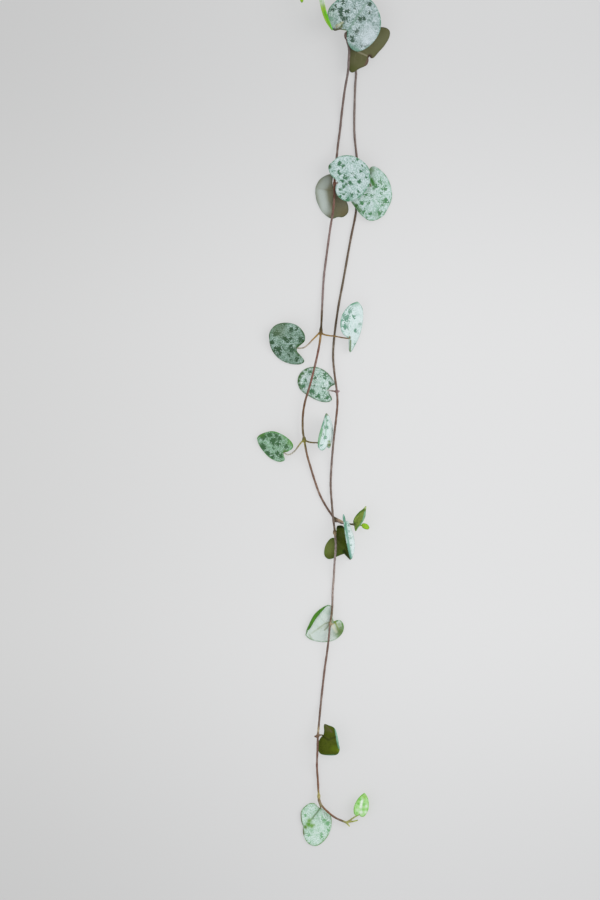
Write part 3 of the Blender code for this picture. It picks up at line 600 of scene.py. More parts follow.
def skin_group():
    """The skin of a leaf: misty ground, dark marbling, pale veins, a coloured rim and fine waxy grain."""
    group = bpy.data.node_groups.new("leaf_skin_pattern", "ShaderNodeTree")
    for name, kind, default in (
        ("Skin", "Vector", None), ("Rim", "Float", 9.0), ("Vein", "Float", 0.0), ("Patch", "Float", 0.0),
        ("Wash", "Color", None), ("Wash Strength", "Float", 0.0), ("Density", "Float", 0.5),
        ("Glint", "Float", 1.0),
        ("Ground", "Color", None), ("Mist", "Color", None), ("Marbling", "Color", None),
        ("Vein Colour", "Color", None), ("Edge", "Color", None), ("Edge Width", "Float", 0.6),
    ):
        socket = group.interface.new_socket(name, in_out="INPUT", socket_type="NodeSocket" + kind)
        if default is not None:
            socket.default_value = default
    for name, kind in (("Colour", "Color"), ("Roughness", "Float"), ("Height", "Float")):
        group.interface.new_socket(name, in_out="OUTPUT", socket_type="NodeSocket" + kind)
    given = group.nodes.new("NodeGroupInput").outputs
    result = group.nodes.new("NodeGroupOutput")
    place = given["Skin"]
    swirl = placed_node(group, "ShaderNodeTexNoise", {"Vector": place, "Scale": 0.9, "Detail": 1.0})
    shifted = placed_node(
        group, "ShaderNodeVectorMath", {0: swirl.outputs["Color"], 1: (1.1, 1.1, 1.1), 2: place},
        operation="MULTIPLY_ADD",
    ).outputs[0]
    clumps = rough_pattern(group, shifted, 0.42, 1.0)
    islands = rough_pattern(group, shifted, 1.35, 2.0, 0.65)
    specks = rough_pattern(group, place, 2.3, 2.0, 0.65)
    grain = rough_pattern(group, place, 6.5, 1.0)
    cells = placed_node(group, "ShaderNodeTexVoronoi", {"Vector": place, "Scale": 5.5}).outputs["Distance"]
    level = sum_of(group, "MULTIPLY", clumps, 0.36)
    level = sum_of(group, "MULTIPLY_ADD", islands, 0.5, level)
    level = sum_of(group, "MULTIPLY_ADD", specks, 0.6, level)
    level = sum_of(group, "ADD", level, given["Density"])
    marks = eased(group, sum_of(group, "MULTIPLY_ADD", given["Patch"], 0.27, level), 1.395, 1.475)
    haze = eased(group, level, 1.175, 1.395)
    misty = blend_colour(group, sum_of(group, "MULTIPLY", haze, 0.85), given["Ground"], given["Mist"])
    veined = blend_colour(group, sum_of(group, "MULTIPLY", given["Vein"], 0.55), misty, given["Vein Colour"])
    bright = eased(group, specks, 0.5, 0.3, 0, 0.4)
    glints = sum_of(group, "MULTIPLY", bright, given["Glint"])
    sprinkled = blend_colour(group, glints, veined, (0.82, 0.9, 0.9, 1))
    marbled = blend_colour(group, sum_of(group, "MULTIPLY", marks, 0.92), sprinkled, given["Marbling"])
    ragged = sum_of(group, "MULTIPLY_ADD", specks, -0.8, given["Rim"])
    edge = eased(group, ragged, -0.4, given["Edge Width"], 1.0, 0.0)
    broken = eased(group, clumps, 0.4, 0.58, 0.35, 1.0)
    edged = blend_colour(group, sum_of(group, "MULTIPLY", edge, broken), marbled, given["Edge"])
    mottling = eased(group, specks, 0.2, 0.55, 0.8, 1.0)
    mottled_wash = sum_of(group, "MULTIPLY", given["Wash Strength"], mottling)
    coloured = blend_colour(group, mottled_wash, edged, given["Wash"])
    fine = eased(group, grain, 0.45, 0.75, 0, 0.16)
    shaded = blend_colour(group, fine, coloured, (0.3, 0.36, 0.3, 1), "MULTIPLY")
    dulled = sum_of(group, "MULTIPLY_ADD", grain, 0.2, 0.4)
    group.links.new(shaded, result.inputs["Colour"])
    group.links.new(sum_of(group, "MULTIPLY_ADD", marks, -0.06, dulled), result.inputs["Roughness"])
    relief = sum_of(group, "MULTIPLY_ADD", cells, -0.35, sum_of(group, "MULTIPLY", grain, 0.5))
    relief = sum_of(group, "MULTIPLY_ADD", marks, -0.5, relief)
    group.links.new(sum_of(group, "MULTIPLY_ADD", given["Vein"], -0.6, relief), result.inputs["Height"])
    return group


leaf_skin_pattern = skin_group()


def leaf_finish(name, ground, mist, marbling, vein, edge, density=0.5, edge_width=0.5, glint=1.0, shine=0.3):
    """A leaf skin in its own colours."""
    material, tree, shader = new_finish(name)
    feeds = {"Density": density, "Edge Width": edge_width, "Glint": glint}
    for socket, colour in (
        ("Ground", ground), ("Mist", mist), ("Marbling", marbling), ("Vein Colour", vein), ("Edge", edge)
    ):
        feeds[socket] = (*paint(*colour), 1)
    for attribute, output, socket in (
        ("skin", "Vector", "Skin"), ("rim", "Fac", "Rim"), ("vein", "Fac", "Vein"), ("patch", "Fac", "Patch")
    ):
        feeds[socket] = placed_node(tree, "ShaderNodeAttribute", attribute_name=attribute).outputs[output]
    wash = placed_node(tree, "ShaderNodeAttribute", attribute_name="wash")
    feeds["Wash"], feeds["Wash Strength"] = wash.outputs["Color"], wash.outputs["Alpha"]
    skin = placed_node(tree, "ShaderNodeGroup", feeds, node_tree=leaf_skin_pattern)
    tree.links.new(skin.outputs["Colour"], shader.inputs["Base Color"])
    tree.links.new(skin.outputs["Roughness"], shader.inputs["Roughness"])
    shader.inputs["Specular IOR Level"].default_value = shine
    give_relief(tree, shader, skin.outputs["Height"], strength=0.5, depth=0.00007)
    return material


olive_back = leaf_finish(
    "olive_back", (98, 98, 64), (84, 86, 48), (72, 70, 40), (122, 118, 88), (62, 58, 30),
    density=0.42, edge_width=0.3, glint=0, shine=0.15,
)
crown_silver = leaf_finish(
    "crown_silver", (200, 212, 216), (130, 158, 152), (42, 76, 52), (140, 172, 158), (88, 142, 118),
    density=0.6,
)
CROWN_FRONT = dict(
    stalk=(7.4, 167.4), tip=(16, 181.4), heights=(7.2, 8.6, 9.2, 7.6),
    left=[(12.6, 183.1), (8.4, 182.9), (4.6, 181.4), (1.3, 178.9), (-0.8, 176), (-1, 172.6), (0, 169.2),
        (1.9, 167.4), (4.2, 167.9)],
    right=[(18.9, 178.5), (20.9, 174.3), (21.4, 170.1), (20.6, 166.4), (18.3, 162.8), (15.2, 160.1),
        (12, 158.7), (9.3, 159.6), (7.6, 162), (7.1, 164.8)],
    patches=[(4.7, 175.6, 1.4), (4.8, 174.2, 1.1), (7.1, 175.6, 1.3), (5.7, 172.4, 1.5), (5, 170.5, 0.8),
        (2.5, 178, 0.7), (1.1, 176.1, 0.8), (5.5, 179.8, 0.8), (12.4, 172.4, 1), (14.2, 172.6, 0.7),
        (11.2, 167.1, 1.1), (9.1, 164.8, 0.8), (9.4, 163.3, 0.9), (16.6, 178.5, 0.8), (16.5, 175.1, 0.7),
        (10.5, 176.6, 0.6), (13.4, 161.2, 0.5), (14.9, 161, 0.5), (16.1, 161.3, 0.5)],
    # The curl of the lower left margin is only coloured: a dark olive strip where the back turns over, and
    # above it a pale painted highlight along the curl
    washes=[(9.5, 160.2, 1.5, (96, 142, 122), 0.8), (11.1, 159.5, 1.2, (100, 146, 124), 0.8),
        (7.8, 161.7, 1.1, (104, 150, 130), 0.7), (1.9, 167.7, 0.9, (58, 54, 10), 1),
        (2.9, 168, 0.9, (62, 60, 12), 1), (4, 168.5, 0.8, (76, 78, 24), 1),
        (4.9, 169.2, 0.6, (96, 104, 50), 0.9), (2.8, 169.3, 0.7, (150, 140, 86), 0.8),
        (3.6, 169.8, 0.8, (196, 206, 172), 0.8), (4.8, 170.6, 0.6, (150, 166, 120), 0.7),
        (0.3, 172.2, 1.2, (108, 150, 130), 0.7), (16, 164.6, 4.5, (222, 230, 236), 0.5)],
    strokes=[(8.2, 168.4, 14.9, 178.7, 0.5, (126, 158, 140), 0.6),
        (1.3, 167.6, 4.6, 168.1, 0.6, (60, 58, 12), 1), (4.6, 168.1, 6.5, 167.7, 0.4, (96, 104, 60), 0.8),
        (3.3, 169.5, 5.2, 170.9, 0.5, (208, 208, 180), 0.8),
        (2.7, 168.7, 3.4, 169.8, 0.4, (120, 84, 40), 0.8)],
)
grown_blade("leaf_crown_front", CROWN_FRONT, crown_silver, olive_back, 1)
CROWN_BACK = dict(
    stalk=(10.1, 164.2), tip=(16.5, 156.9), heights=(4, 3.2, 0.5, 3.6), rib=0.3,
    left=[(18, 156.1), (20.3, 158.6), (22.8, 161.4), (24.9, 164.9), (25, 167.8), (22.4, 169.2),
        (17.5, 168.6), (13, 166.7)],
    right=[(15.9, 155.3), (15.5, 153.2), (12.2, 151.6), (9.6, 150), (8.1, 151), (7.6, 156), (8, 161)],
    washes=[(9.2, 151, 2.6, (80, 86, 40), 0.8), (16.7, 156.7, 1.1, (60, 40, 28), 1),
        (22.3, 163.4, 4, (100, 102, 70), 0.6)],
    strokes=[(11.8, 158.7, 15.5, 157.1, 0.35, (152, 146, 120), 0.8),
        (15, 153.3, 16.2, 156.1, 0.5, (112, 86, 78), 0.8)],
)
grown_blade("leaf_crown_back", CROWN_BACK, olive_back, crown_silver, 2)

# The second group: one leaf in front with bold marbling, one at the left that shows
# its smooth grey-brown back with a painted sheen, and one at the right with bright green marks.
# Fleshy blades again, on stalks so short that they hide under the leaves.

second_silver = leaf_finish(
    "second_silver", (208, 222, 224), (140, 178, 164), (48, 108, 66), (206, 222, 222), (84, 146, 108),
    density=0.56, edge_width=0.4,
)
MID_FRONT = dict(
    stalk=(3.4, 103.7), tip=(16.8, 106.2), heights=(5.6, 5.4, 6.9, 6.2),
    left=[(16.3, 109.7), (13.5, 113), (8.7, 115.2), (3.9, 114.8), (1.2, 112.7), (-0.7, 110.7), (0, 107.5),
        (2, 105.4)],
    right=[(16.5, 103.2), (13.4, 98.5), (8.1, 95.8), (4, 97.3), (2.3, 100.4), (2.6, 102.6)],
    patches=[(4, 111.8, 1), (5.4, 110.5, 0.8), (3.6, 108.9, 0.7), (4, 107.6, 0.8), (9.5, 112.8, 0.6),
        (11.7, 113.7, 0.8), (13.6, 111, 0.7), (12.9, 108.6, 0.7), (9.5, 107.4, 0.8), (6.5, 106, 1),
        (5.1, 104.4, 0.7), (8.2, 103.7, 1.1), (7.1, 103.2, 0.8), (10.8, 105.8, 0.7), (12.3, 104.2, 0.8),
        (5.7, 102, 0.6), (4, 101, 0.8), (11.9, 100, 0.7), (9.2, 98.6, 0.8), (5.8, 98.7, 0.7),
        (4.2, 97.9, 0.7), (7.6, 96.5, 0.9), (15.2, 106, 0.5)],
    washes=[(-0.2, 110.5, 0.9, (44, 92, 36), 1), (8.2, 96.9, 1.3, (84, 146, 112), 0.6)],
)
grown_blade("leaf_mid_front", MID_FRONT, second_silver, olive_back, 3)
MID_LEFT = dict(
    stalk=(2.1, 100.4), tip=(-6.2, 99.5), heights=(1.9, 0.2, 0.5, 0.7), rib=0.25,
    left=[(-5.5, 95.9), (-3.2, 91.4), (0.6, 88.7), (3.2, 89.4), (5.6, 89.4), (7.7, 91.6), (7.2, 95.5),
        (4.3, 99.1)],
    right=[(-5.9, 102.4), (-4, 105.5), (-0.5, 107.4), (1.2, 106.8), (1, 103.6)],
    washes=[(1.5, 100, 2.2, (124, 116, 92), 0.7), (4.6, 94.5, 3.6, (112, 108, 84), 0.8),
        (6.1, 91.6, 2.6, (100, 84, 44), 0.6)],
    # The first three strokes are a painted sheen: a pale highlight down the left of the smooth back
    strokes=[(-1.3, 104.6, -3.4, 102.1, 2.4, (174, 184, 176), 0.8),
        (-3.8, 100.4, -2.1, 92.4, 2.6, (184, 194, 186), 0.9),
        (-3.5, 100, -2.4, 93.7, 1.6, (210, 219, 216), 0.8),
        (-4.5, 101.4, 0.4, 100.5, 0.4, (126, 118, 90), 0.6),
        (0.4, 105, 0, 96.6, 1, (140, 140, 118), 0.5)],
)
second_back = leaf_finish(
    "second_back", (112, 110, 80), (98, 98, 66), (90, 88, 60), (92, 100, 66), (64, 86, 44),
    density=0.42, edge_width=0.4, glint=0.1, shine=0.3,
)
grown_blade("leaf_mid_left", MID_LEFT, second_back, second_silver, 4)
third_green = leaf_finish(
    "third_green", (204, 220, 220), (144, 184, 162), (62, 126, 70), (208, 224, 220), (104, 156, 118),
    density=0.57, edge_width=0.4,
)
MID_RIGHT = dict(
    stalk=(16.6, 103.3), tip=(22.3, 89.9), heights=(2.9, 1.4, 0.45, 2.4),
    left=[(25.4, 95.4), (26, 99.8), (24.5, 105.2), (21.4, 109.1), (18.2, 110.8), (16.4, 109.3),
        (16.2, 105.9)],
    right=[(19.5, 88.2), (16.2, 88), (12.9, 90.4), (9.9, 94.2), (8.4, 97.2), (10.5, 100.4),
        (13.8, 101.4)],
    patches=[(21.3, 103.8, 1), (23.1, 101, 1.1), (21.4, 99.3, 0.7), (23.6, 96.2, 1.3), (22.3, 94.8, 1),
        (21, 91.3, 1.3), (19.5, 102.4, 1), (14.7, 98.6, 0.7), (17.5, 98.3, 0.9), (13.3, 95.2, 0.8),
        (16.4, 95.3, 0.9), (14, 91.7, 1.1), (16.9, 90.8, 0.9), (15.5, 89, 0.8), (10.8, 94, 1.1)],
    washes=[(18.4, 101.4, 0.7, (52, 118, 50), 0.9), (17.2, 109.4, 1.5, (88, 128, 66), 0.8),
        (16.7, 107.9, 1, (62, 92, 38), 0.9), (10.8, 94, 1.2, (44, 86, 20), 1),
        (12.2, 92.6, 0.9, (58, 100, 34), 0.8), (19.7, 89.9, 1.5, (90, 140, 90), 0.4)],
    strokes=[(17.2, 105.2, 18.3, 103.2, 1, (46, 118, 18), 1),
        (9.6, 95.3, 12.4, 92, 0.7, (54, 106, 32), 0.9)],
)
grown_blade("leaf_mid_right", MID_RIGHT, third_green, olive_back, 5)

# The third node: two leaves held out on curved stalks, one to each side. The left
# one is shaded, its darker green between the marks partly painted shade; the right
# one stands nearly on edge and is the palest, partly painted light, finely marked along its left half.

shaded_green = leaf_finish(
    "shaded_green", (166, 192, 182), (106, 142, 118), (38, 78, 42), (130, 160, 142), (40, 86, 28),
    density=0.62, edge_width=0.65, glint=0.8,
)
THIRD_LEFT = dict(
    stalk=(-13.9, 34.4), tip=(-25.5, 37.8), heights=(3, 2.2, 0.45, 4.6),
    left=[(-24.2, 33.3), (-21, 29.6), (-16.4, 27.7), (-12.4, 27.6), (-10.7, 29), (-12.6, 31.1),
        (-13.9, 32.8)],
    right=[(-25.3, 41.2), (-22.8, 44.1), (-18.5, 45.1), (-13.9, 44), (-10.9, 40.7), (-10.5, 37.6),
        (-12.3, 35.8)],
    patches=[(-16.3, 42.4, 0.9), (-14, 42.5, 0.8), (-12.5, 38.3, 1), (-11.4, 37.2, 0.8),
        (-22.8, 40.4, 1.2), (-24.3, 36.5, 0.9), (-18.7, 38.2, 1.1), (-17.8, 36.9, 0.8),
        (-16.5, 38.3, 0.7), (-23, 34.6, 0.8), (-21.3, 34.1, 1.1), (-21.1, 32.3, 0.9), (-15.8, 33.8, 0.9),
        (-17.3, 31.5, 0.7), (-16.3, 35.4, 0.7), (-13.9, 29.2, 0.7)],
    washes=[(-21.4, 42.2, 3.6, (98, 120, 88), 0.6), (-23.5, 43.7, 1.5, (64, 98, 36), 0.8),
        (-13.5, 35.2, 0.9, (44, 90, 28), 0.9), (-14.5, 32.9, 0.6, (54, 96, 36), 0.8)],
)
grown_blade("leaf_third_left", THIRD_LEFT, shaded_green, olive_back, 6)
# The palest finish; on the right leaf of the third node its pale ground is partly painted light
pale_silver = leaf_finish(
    "pale_silver", (220, 234, 234), (182, 210, 202), (88, 146, 118), (222, 234, 232), (110, 166, 138),
    density=0.53, edge_width=0.4,
)
THIRD_RIGHT = dict(
    stalk=(7.8, 38.5), tip=(11.7, 53.8), heights=(5.8, 7.2, 11.2, 1.3),
    left=[(8, 52.1), (5, 47.9), (4.4, 43.4), (5.4, 40.3), (6.8, 39.3)],
    right=[(13.6, 50.6), (13.7, 45.6), (12.4, 39.8), (10.2, 35.2), (8.3, 32.4), (8, 35.6)],
    patches=[(6.7, 47, 2.2), (6.3, 43.3, 1.8), (8, 50.4, 1.8), (10.8, 41.6, 1), (12.6, 44.5, 0.9),
        (9.8, 47.7, 1.1), (10.8, 36.1, 0.8)],
    washes=[(8.2, 38.6, 0.6, (110, 120, 62), 0.9), (13, 45.4, 1.8, (224, 236, 236), 0.5),
        (10.9, 38.6, 1.6, (222, 235, 234), 0.5), (11.7, 53.2, 1.2, (150, 190, 166), 0.6)],
    strokes=[(8.6, 37.5, 8.4, 33.2, 0.4, (100, 124, 58), 0.9)],
)
grown_blade("leaf_third_right", THIRD_RIGHT, pale_silver, olive_back, 7)

# The fourth leaf lies in the middle, partly under both strands and pressed flat on
# the table. Silver with green marbling and a dark olive margin at its far end.

fourth_silver = leaf_finish(
    "fourth_silver", (222, 236, 234), (158, 196, 176), (58, 116, 70), (150, 186, 168), (56, 108, 50),
    density=0.59, edge_width=0.55,
)
FOURTH = dict(
    stalk=(-0.6, 17.2), tip=(-13.7, 19.7), heights=(0.9, 0, 0, 0), waves=0.2,
    left=[(-12.4, 16.8), (-9.2, 14.4), (-4.6, 12.1), (-0.8, 11.7), (0.9, 12.9), (-0.3, 15.4)],
    right=[(-13.2, 22.7), (-10.8, 25.5), (-6.3, 26.6), (-2.1, 24.9), (0.5, 22.3), (1.6, 20.7),
        (2.4, 19.3), (1.3, 18.8), (0.3, 18.2)],
    patches=[(-8.2, 24.5, 1), (-11.6, 23.4, 1), (-6, 21.8, 0.8), (-2.2, 23.4, 0.9), (-0.3, 19.8, 0.7),
        (-2.1, 21.8, 0.6), (-6.6, 18.8, 0.6), (-7.5, 16.1, 1.1), (-5, 14.1, 0.9), (-1.3, 13.4, 0.9),
        (-11.5, 18.2, 0.9), (-2.6, 17.6, 0.8), (-10.1, 21, 0.6), (-12.6, 16, 0.8)],
    washes=[(-12.7, 22.3, 0.9, (56, 100, 34), 1), (-13.2, 20.6, 0.9, (48, 92, 24), 1),
        (-12.9, 18.9, 0.8, (50, 94, 28), 1), (-11.6, 23.9, 0.9, (62, 106, 46), 0.9),
        (-10.1, 25.2, 0.7, (70, 116, 54), 0.9), (-12.3, 17.4, 0.7, (58, 102, 44), 0.9),
        (-3.2, 11.9, 1, (62, 112, 72), 0.8), (0, 16.1, 0.6, (62, 112, 62), 0.8),
        (-11.3, 15.5, 1, (70, 120, 70), 0.6)],
)
grown_blade("leaf_fourth_centre", FOURTH, fourth_silver, olive_back, 8)

# The fifth node: a greener leaf on a bent stalk at the left, and a narrow pale one
# at the right that stands nearly on edge, with an olive mark at its base.

fifth_green = leaf_finish(
    "fifth_green", (176, 208, 190), (116, 164, 120), (50, 98, 50), (134, 176, 142), (72, 142, 48),
    density=0.63, edge_width=0.5, glint=0.9,
)
FIFTH_LEFT = dict(
    stalk=(-19.6, -9.4), tip=(-30.6, -3.2), heights=(3.4, 1.2, 0.45, 4.4),
    left=[(-29.4, -7), (-26, -11.1), (-22, -13.3), (-19, -12.8), (-19.4, -11)],
    right=[(-28.6, -1.6), (-24, -0.5), (-19.4, -2.2), (-16.1, -5), (-15.5, -7.4), (-17.6, -9)],
    patches=[(-25.4, -2, 1), (-28, -3.3, 1.2), (-24.1, -4.5, 1.1), (-21.7, -6, 1), (-22.7, -2.4, 0.8),
        (-21.2, -3.6, 0.8), (-18.3, -7.1, 0.9), (-28.3, -7.4, 1.2), (-26.2, -9.8, 1.3),
        (-24.1, -11.3, 0.9), (-22.1, -9.8, 1.1), (-20.6, -10.7, 0.8)],
    washes=[(-16.5, -5.2, 1.6, (100, 158, 62), 0.7), (-18.9, -2.4, 1.4, (100, 156, 74), 0.6),
        (-28.7, -1.9, 1.3, (82, 126, 52), 0.7), (-18.9, -8.8, 0.8, (82, 112, 36), 0.8)],
)
grown_blade("leaf_fifth_left", FIFTH_LEFT, fifth_green, olive_back, 9)
FIFTH_RIGHT = dict(
    stalk=(-1.3, -6.7), tip=(-1.5, 7.1), heights=(5.6, 6.2, 11, 0.5),
    left=[(-3.1, 2.4), (-4.7, -3), (-5, -6.9), (-3.6, -8.7), (-2.1, -7.9)],
    right=[(0.3, 4), (1.2, -0.6), (0.5, -5.4), (-0.2, -7.6), (-0.9, -7.5)],
    patches=[(-1.3, 1.1, 1.2), (-1.9, -3.3, 1.2), (-2.9, -2.1, 1.2), (-3.8, -6.3, 0.9), (-1.2, 3.9, 0.8)],
    washes=[(-0.3, -6.3, 0.9, (96, 120, 34), 1), (-0.4, -4.9, 0.6, (120, 150, 80), 0.9),
        (-1.3, 6.5, 0.6, (132, 142, 104), 0.9)],
    strokes=[(-1.4, 5, -2, -3.4, 0.35, (132, 182, 146), 0.6),
        (-3.2, 0.4, -4.8, -5.9, 0.4, (112, 170, 112), 0.8),
        (-3.9, 1.3, -5.5, -5.9, 0.45, (104, 168, 98), 0.8),
        (-0.4, 2.5, 0.3, -3.4, 0.6, (222, 236, 232), 0.8)],
)
grown_blade("leaf_fifth_right", FIFTH_RIGHT, pale_silver, olive_back, 10)

# The sixth node: a leaf on its edge, an olive-backed leaf under the strand, and on
# the side shoot a folded young leaf and a lime bud. Fleshy blades, each grown on a
# short stalk of its own.

SIXTH_EDGE = dict(
    stalk=(6.4, -39.3), tip=(8.9, -54.3), heights=(7.4, 5.4, 3.7, 12), waves=0.3,
    left=[(10.1, -50), (10, -45.4), (8.5, -40.4), (7.2, -38), (6.6, -38.4)],
    right=[(7.9, -51.2), (6.7, -45.4), (5.9, -39.5), (5.5, -36.4), (5.6, -35), (6.1, -37)],
    patches=[(7.9, -39.9, 0.9), (8.2, -42.4, 0.7), (8.7, -45.4, 0.8), (9, -48.3, 0.7)],
    washes=[(6.8, -36.5, 1, (92, 148, 114), 1)],
    strokes=[(5.9, -35.5, 7.1, -43.3, 0.5, (88, 156, 132), 0.9),
        (7.1, -43.3, 8.7, -53.3, 0.45, (96, 160, 142), 0.9),
        (8.6, -39.5, 9.9, -51.2, 0.8, (228, 238, 240), 0.6)],
)
grown_blade("leaf_sixth_edge", SIXTH_EDGE, pale_silver, olive_back, 11)
deep_olive = leaf_finish(
    "deep_olive", (78, 90, 22), (64, 76, 4), (50, 62, 6), (98, 106, 52), (74, 110, 32),
    density=0.45, edge_width=0.35, glint=0, shine=0.12,
)
SIXTH_BACK = dict(
    stalk=(2.1, -45.4), tip=(8.5, -54.6), heights=(1.3, 0.6, 0.6, 0.5), rib=0.3, bend=(1, 0.8),
    left=[(7.8, -50.8), (6.8, -46.4), (6, -42), (5.6, -40.3), (4.2, -40), (2.8, -40.5), (2.7, -43.9)],
    right=[(7.5, -53.6), (5.7, -51.7), (4.7, -50.3), (3.6, -51.4), (2.2, -53), (-0.4, -54.3),
        (-2.4, -52.6), (-2.1, -48.9), (-0.4, -46.1), (1.1, -45.2)],
    washes=[(0.2, -49.4, 3.6, (120, 132, 66), 0.9), (-1.7, -51.2, 1.2, (112, 142, 62), 0.7),
        (4.6, -44.1, 1.4, (88, 98, 44), 0.8), (5, -49, 1.6, (88, 102, 32), 0.8),
        (3.8, -51.2, 1.2, (98, 116, 44), 0.8)],
    # The first three strokes are painted shade: a dark band along the top, partly the dark rim and partly
    # the stalk's shadow, and the shaded fold of the right lobe
    strokes=[(3.2, -40.7, 6.1, -40.7, 0.6, (32, 44, 4), 1),
        (7.3, -46.6, 8.5, -53.3, 0.9, (34, 48, 4), 0.9), (5.9, -50.8, 8.4, -54, 0.8, (38, 52, 4), 0.9),
        (3.4, -49.1, -1.3, -49.1, 0.3, (120, 134, 70), 0.5)],
)
grown_blade("leaf_sixth_back", SIXTH_BACK, deep_olive, second_silver, 12)
young_green = leaf_finish(
    "young_green", (140, 160, 70), (116, 138, 48), (96, 118, 30), (152, 168, 88), (78, 116, 30),
    density=0.5, edge_width=0.3, glint=0, shine=0.2,
)
SIXTH_YOUNG = dict(
    stalk=(10.2, -39.7), tip=(15.1, -31.9), heights=(3.8, 6.4, 5.4, 6.2), waves=0.2,
    left=[(14.6, -33.3), (13.9, -33.7), (12.2, -34.5), (10.3, -36.8), (9.7, -38.8)],
    right=[(14.8, -33.7), (14.6, -36.6), (13.2, -39.3), (11.4, -41.4), (10.7, -42.7), (10.3, -41.2)],
    washes=[(14.8, -32.3, 0.8, (190, 206, 140), 0.9), (10.3, -39.5, 0.8, (96, 108, 50), 0.7)],
    strokes=[(14.7, -34.4, 13.9, -37.8, 0.35, (138, 190, 158), 0.9),
        (13.9, -37.8, 11.2, -42.4, 0.4, (112, 168, 120), 0.9)],
)
grown_blade("leaf_sixth_young", SIXTH_YOUNG, young_green, young_green, 13)
lime_young = leaf_finish(
    "lime_young", (160, 208, 34), (140, 192, 16), (104, 168, 14), (176, 214, 80), (132, 176, 30),
    density=0.45, edge_width=0.2, glint=0, shine=0.25,
)
SIXTH_BUD = dict(
    stalk=(13.1, -40), tip=(16.6, -41.1), heights=(3, 3.4, 3.2, 3.2), waves=0.1,
    left=[(15.9, -39.7), (14.5, -39.1), (13.5, -39.3)],
    right=[(16, -41.8), (14.6, -41.6), (13.5, -40.9)],
    washes=[(17.4, -41.8, 0.6, (150, 160, 40), 0.8)],
)
grown_blade("leaf_sixth_bud", SIXTH_BUD, lime_young, lime_young, 14)

# The seventh leaf lies back up, pale and veined, with one margin rolled over so that
# its green face shows; the eighth is small, dark and ridged. Both hang on stalks
# hardly longer than the swollen node.

seventh_back = leaf_finish(
    "seventh_back", (218, 228, 221), (202, 218, 210), (178, 200, 182), (182, 196, 172), (96, 148, 84),
    density=0.52, edge_width=0.35, glint=0.3,
)
rolled_green = leaf_finish(
    "rolled_green", (88, 152, 34), (66, 128, 12), (48, 102, 2), (96, 156, 40), (60, 112, 14),
    density=0.62, edge_width=0.2, glint=0.1,
)


def rolled(half, share, start, end, strip, radius):
    """The outer margin of half a row carried on past its fold and turned back over the blade."""
    window = max(0.0, sin(pi * (share - start) / (end - start))) if start < share < end else 0.0
    strip = strip * window**0.7
    if strip < 0.05:
        return half
    root, fold = half[0], half[-1]
    toward = fold - root
    flat_reach = np.linalg.norm(toward)
    toward = toward / flat_reach
    turn = min(pi * 0.96, strip / radius)
    reach = np.linspace(0, 1, len(half)) * (flat_reach + strip)
    made = np.empty_like(half)
    for index, length in enumerate(reach):
        before = min(length, flat_reach - radius)
        spot = root + toward * before
        angle = min(max(length - before, 0) / radius, turn)
        spot = spot + toward * (radius * sin(angle))
        spot[2] += radius * (1 - np.cos(angle))
        past = max(0.0, length - before - turn * radius)
        spot = spot + toward * past * np.cos(turn)
        spot[2] += past * sin(turn)
        made[index] = spot
    return made


SEVENTH = dict(
    stalk=(1.6, -80.8), tip=(-10.4, -86.1), heights=(1.5, 0.6, 0.6, 1.2), rib=0.25,
    roll=(0.06, 0.66, 3.3, 0.5),
    left=[(-8, -88.1), (-3, -89.1), (2, -88.2), (5.2, -85.3), (5.8, -82), (4.3, -79.8), (3, -80)],
    right=[(-8.8, -82.4), (-6.2, -77.3), (-2.6, -74.3), (-0.4, -73.5), (0.9, -74.1), (1.2, -76.2),
        (1.2, -78.6)],
    washes=[(4.4, -84.8, 2.9, (98, 128, 62), 1), (4.6, -82.9, 0.8, (92, 128, 50), 0.9),
        (3.9, -81.7, 1.2, (140, 168, 116), 0.8), (3.4, -86.7, 0.8, (104, 138, 72), 0.8),
        (5.2, -85.3, 0.7, (84, 126, 48), 0.9), (-5, -87.2, 2.6, (206, 218, 212), 0.5),
        (-0.4, -76.4, 1.6, (176, 196, 180), 0.6)],
    strokes=[(1.3, -80.1, -2.1, -81.3, 0.34, (136, 152, 110), 0.8),
        (-2.1, -81.3, -5.3, -83.6, 0.3, (146, 162, 122), 0.7),
        (-5.3, -83.6, -7.7, -85.5, 0.26, (166, 182, 150), 0.5),
        (0.7, -80.9, -2.3, -84, 0.32, (138, 154, 112), 0.8),
        (1.1, -82.3, 2.7, -84.8, 0.6, (228, 228, 208), 1),
        (1.8, -79.8, 3.4, -83.7, 0.42, (134, 152, 54), 1), (5.2, -81.3, 6, -84.8, 0.6, (88, 138, 50), 1),
        (6, -84.8, 4.2, -87.9, 0.6, (90, 142, 58), 0.9),
        (4.2, -87.9, 1.3, -89.3, 0.45, (98, 152, 84), 0.9),
        (-8.6, -86.1, -7.6, -88.2, 0.5, (152, 172, 134), 0.6)],
)
grown_blade("leaf_seventh", SEVENTH, seventh_back, rolled_green, 15)
eighth_back = leaf_finish(
    "eighth_back", (80, 92, 10), (64, 74, 4), (50, 58, 2), (88, 92, 36), (60, 98, 24),
    density=0.48, edge_width=0.3, glint=0, shine=0.12,
)
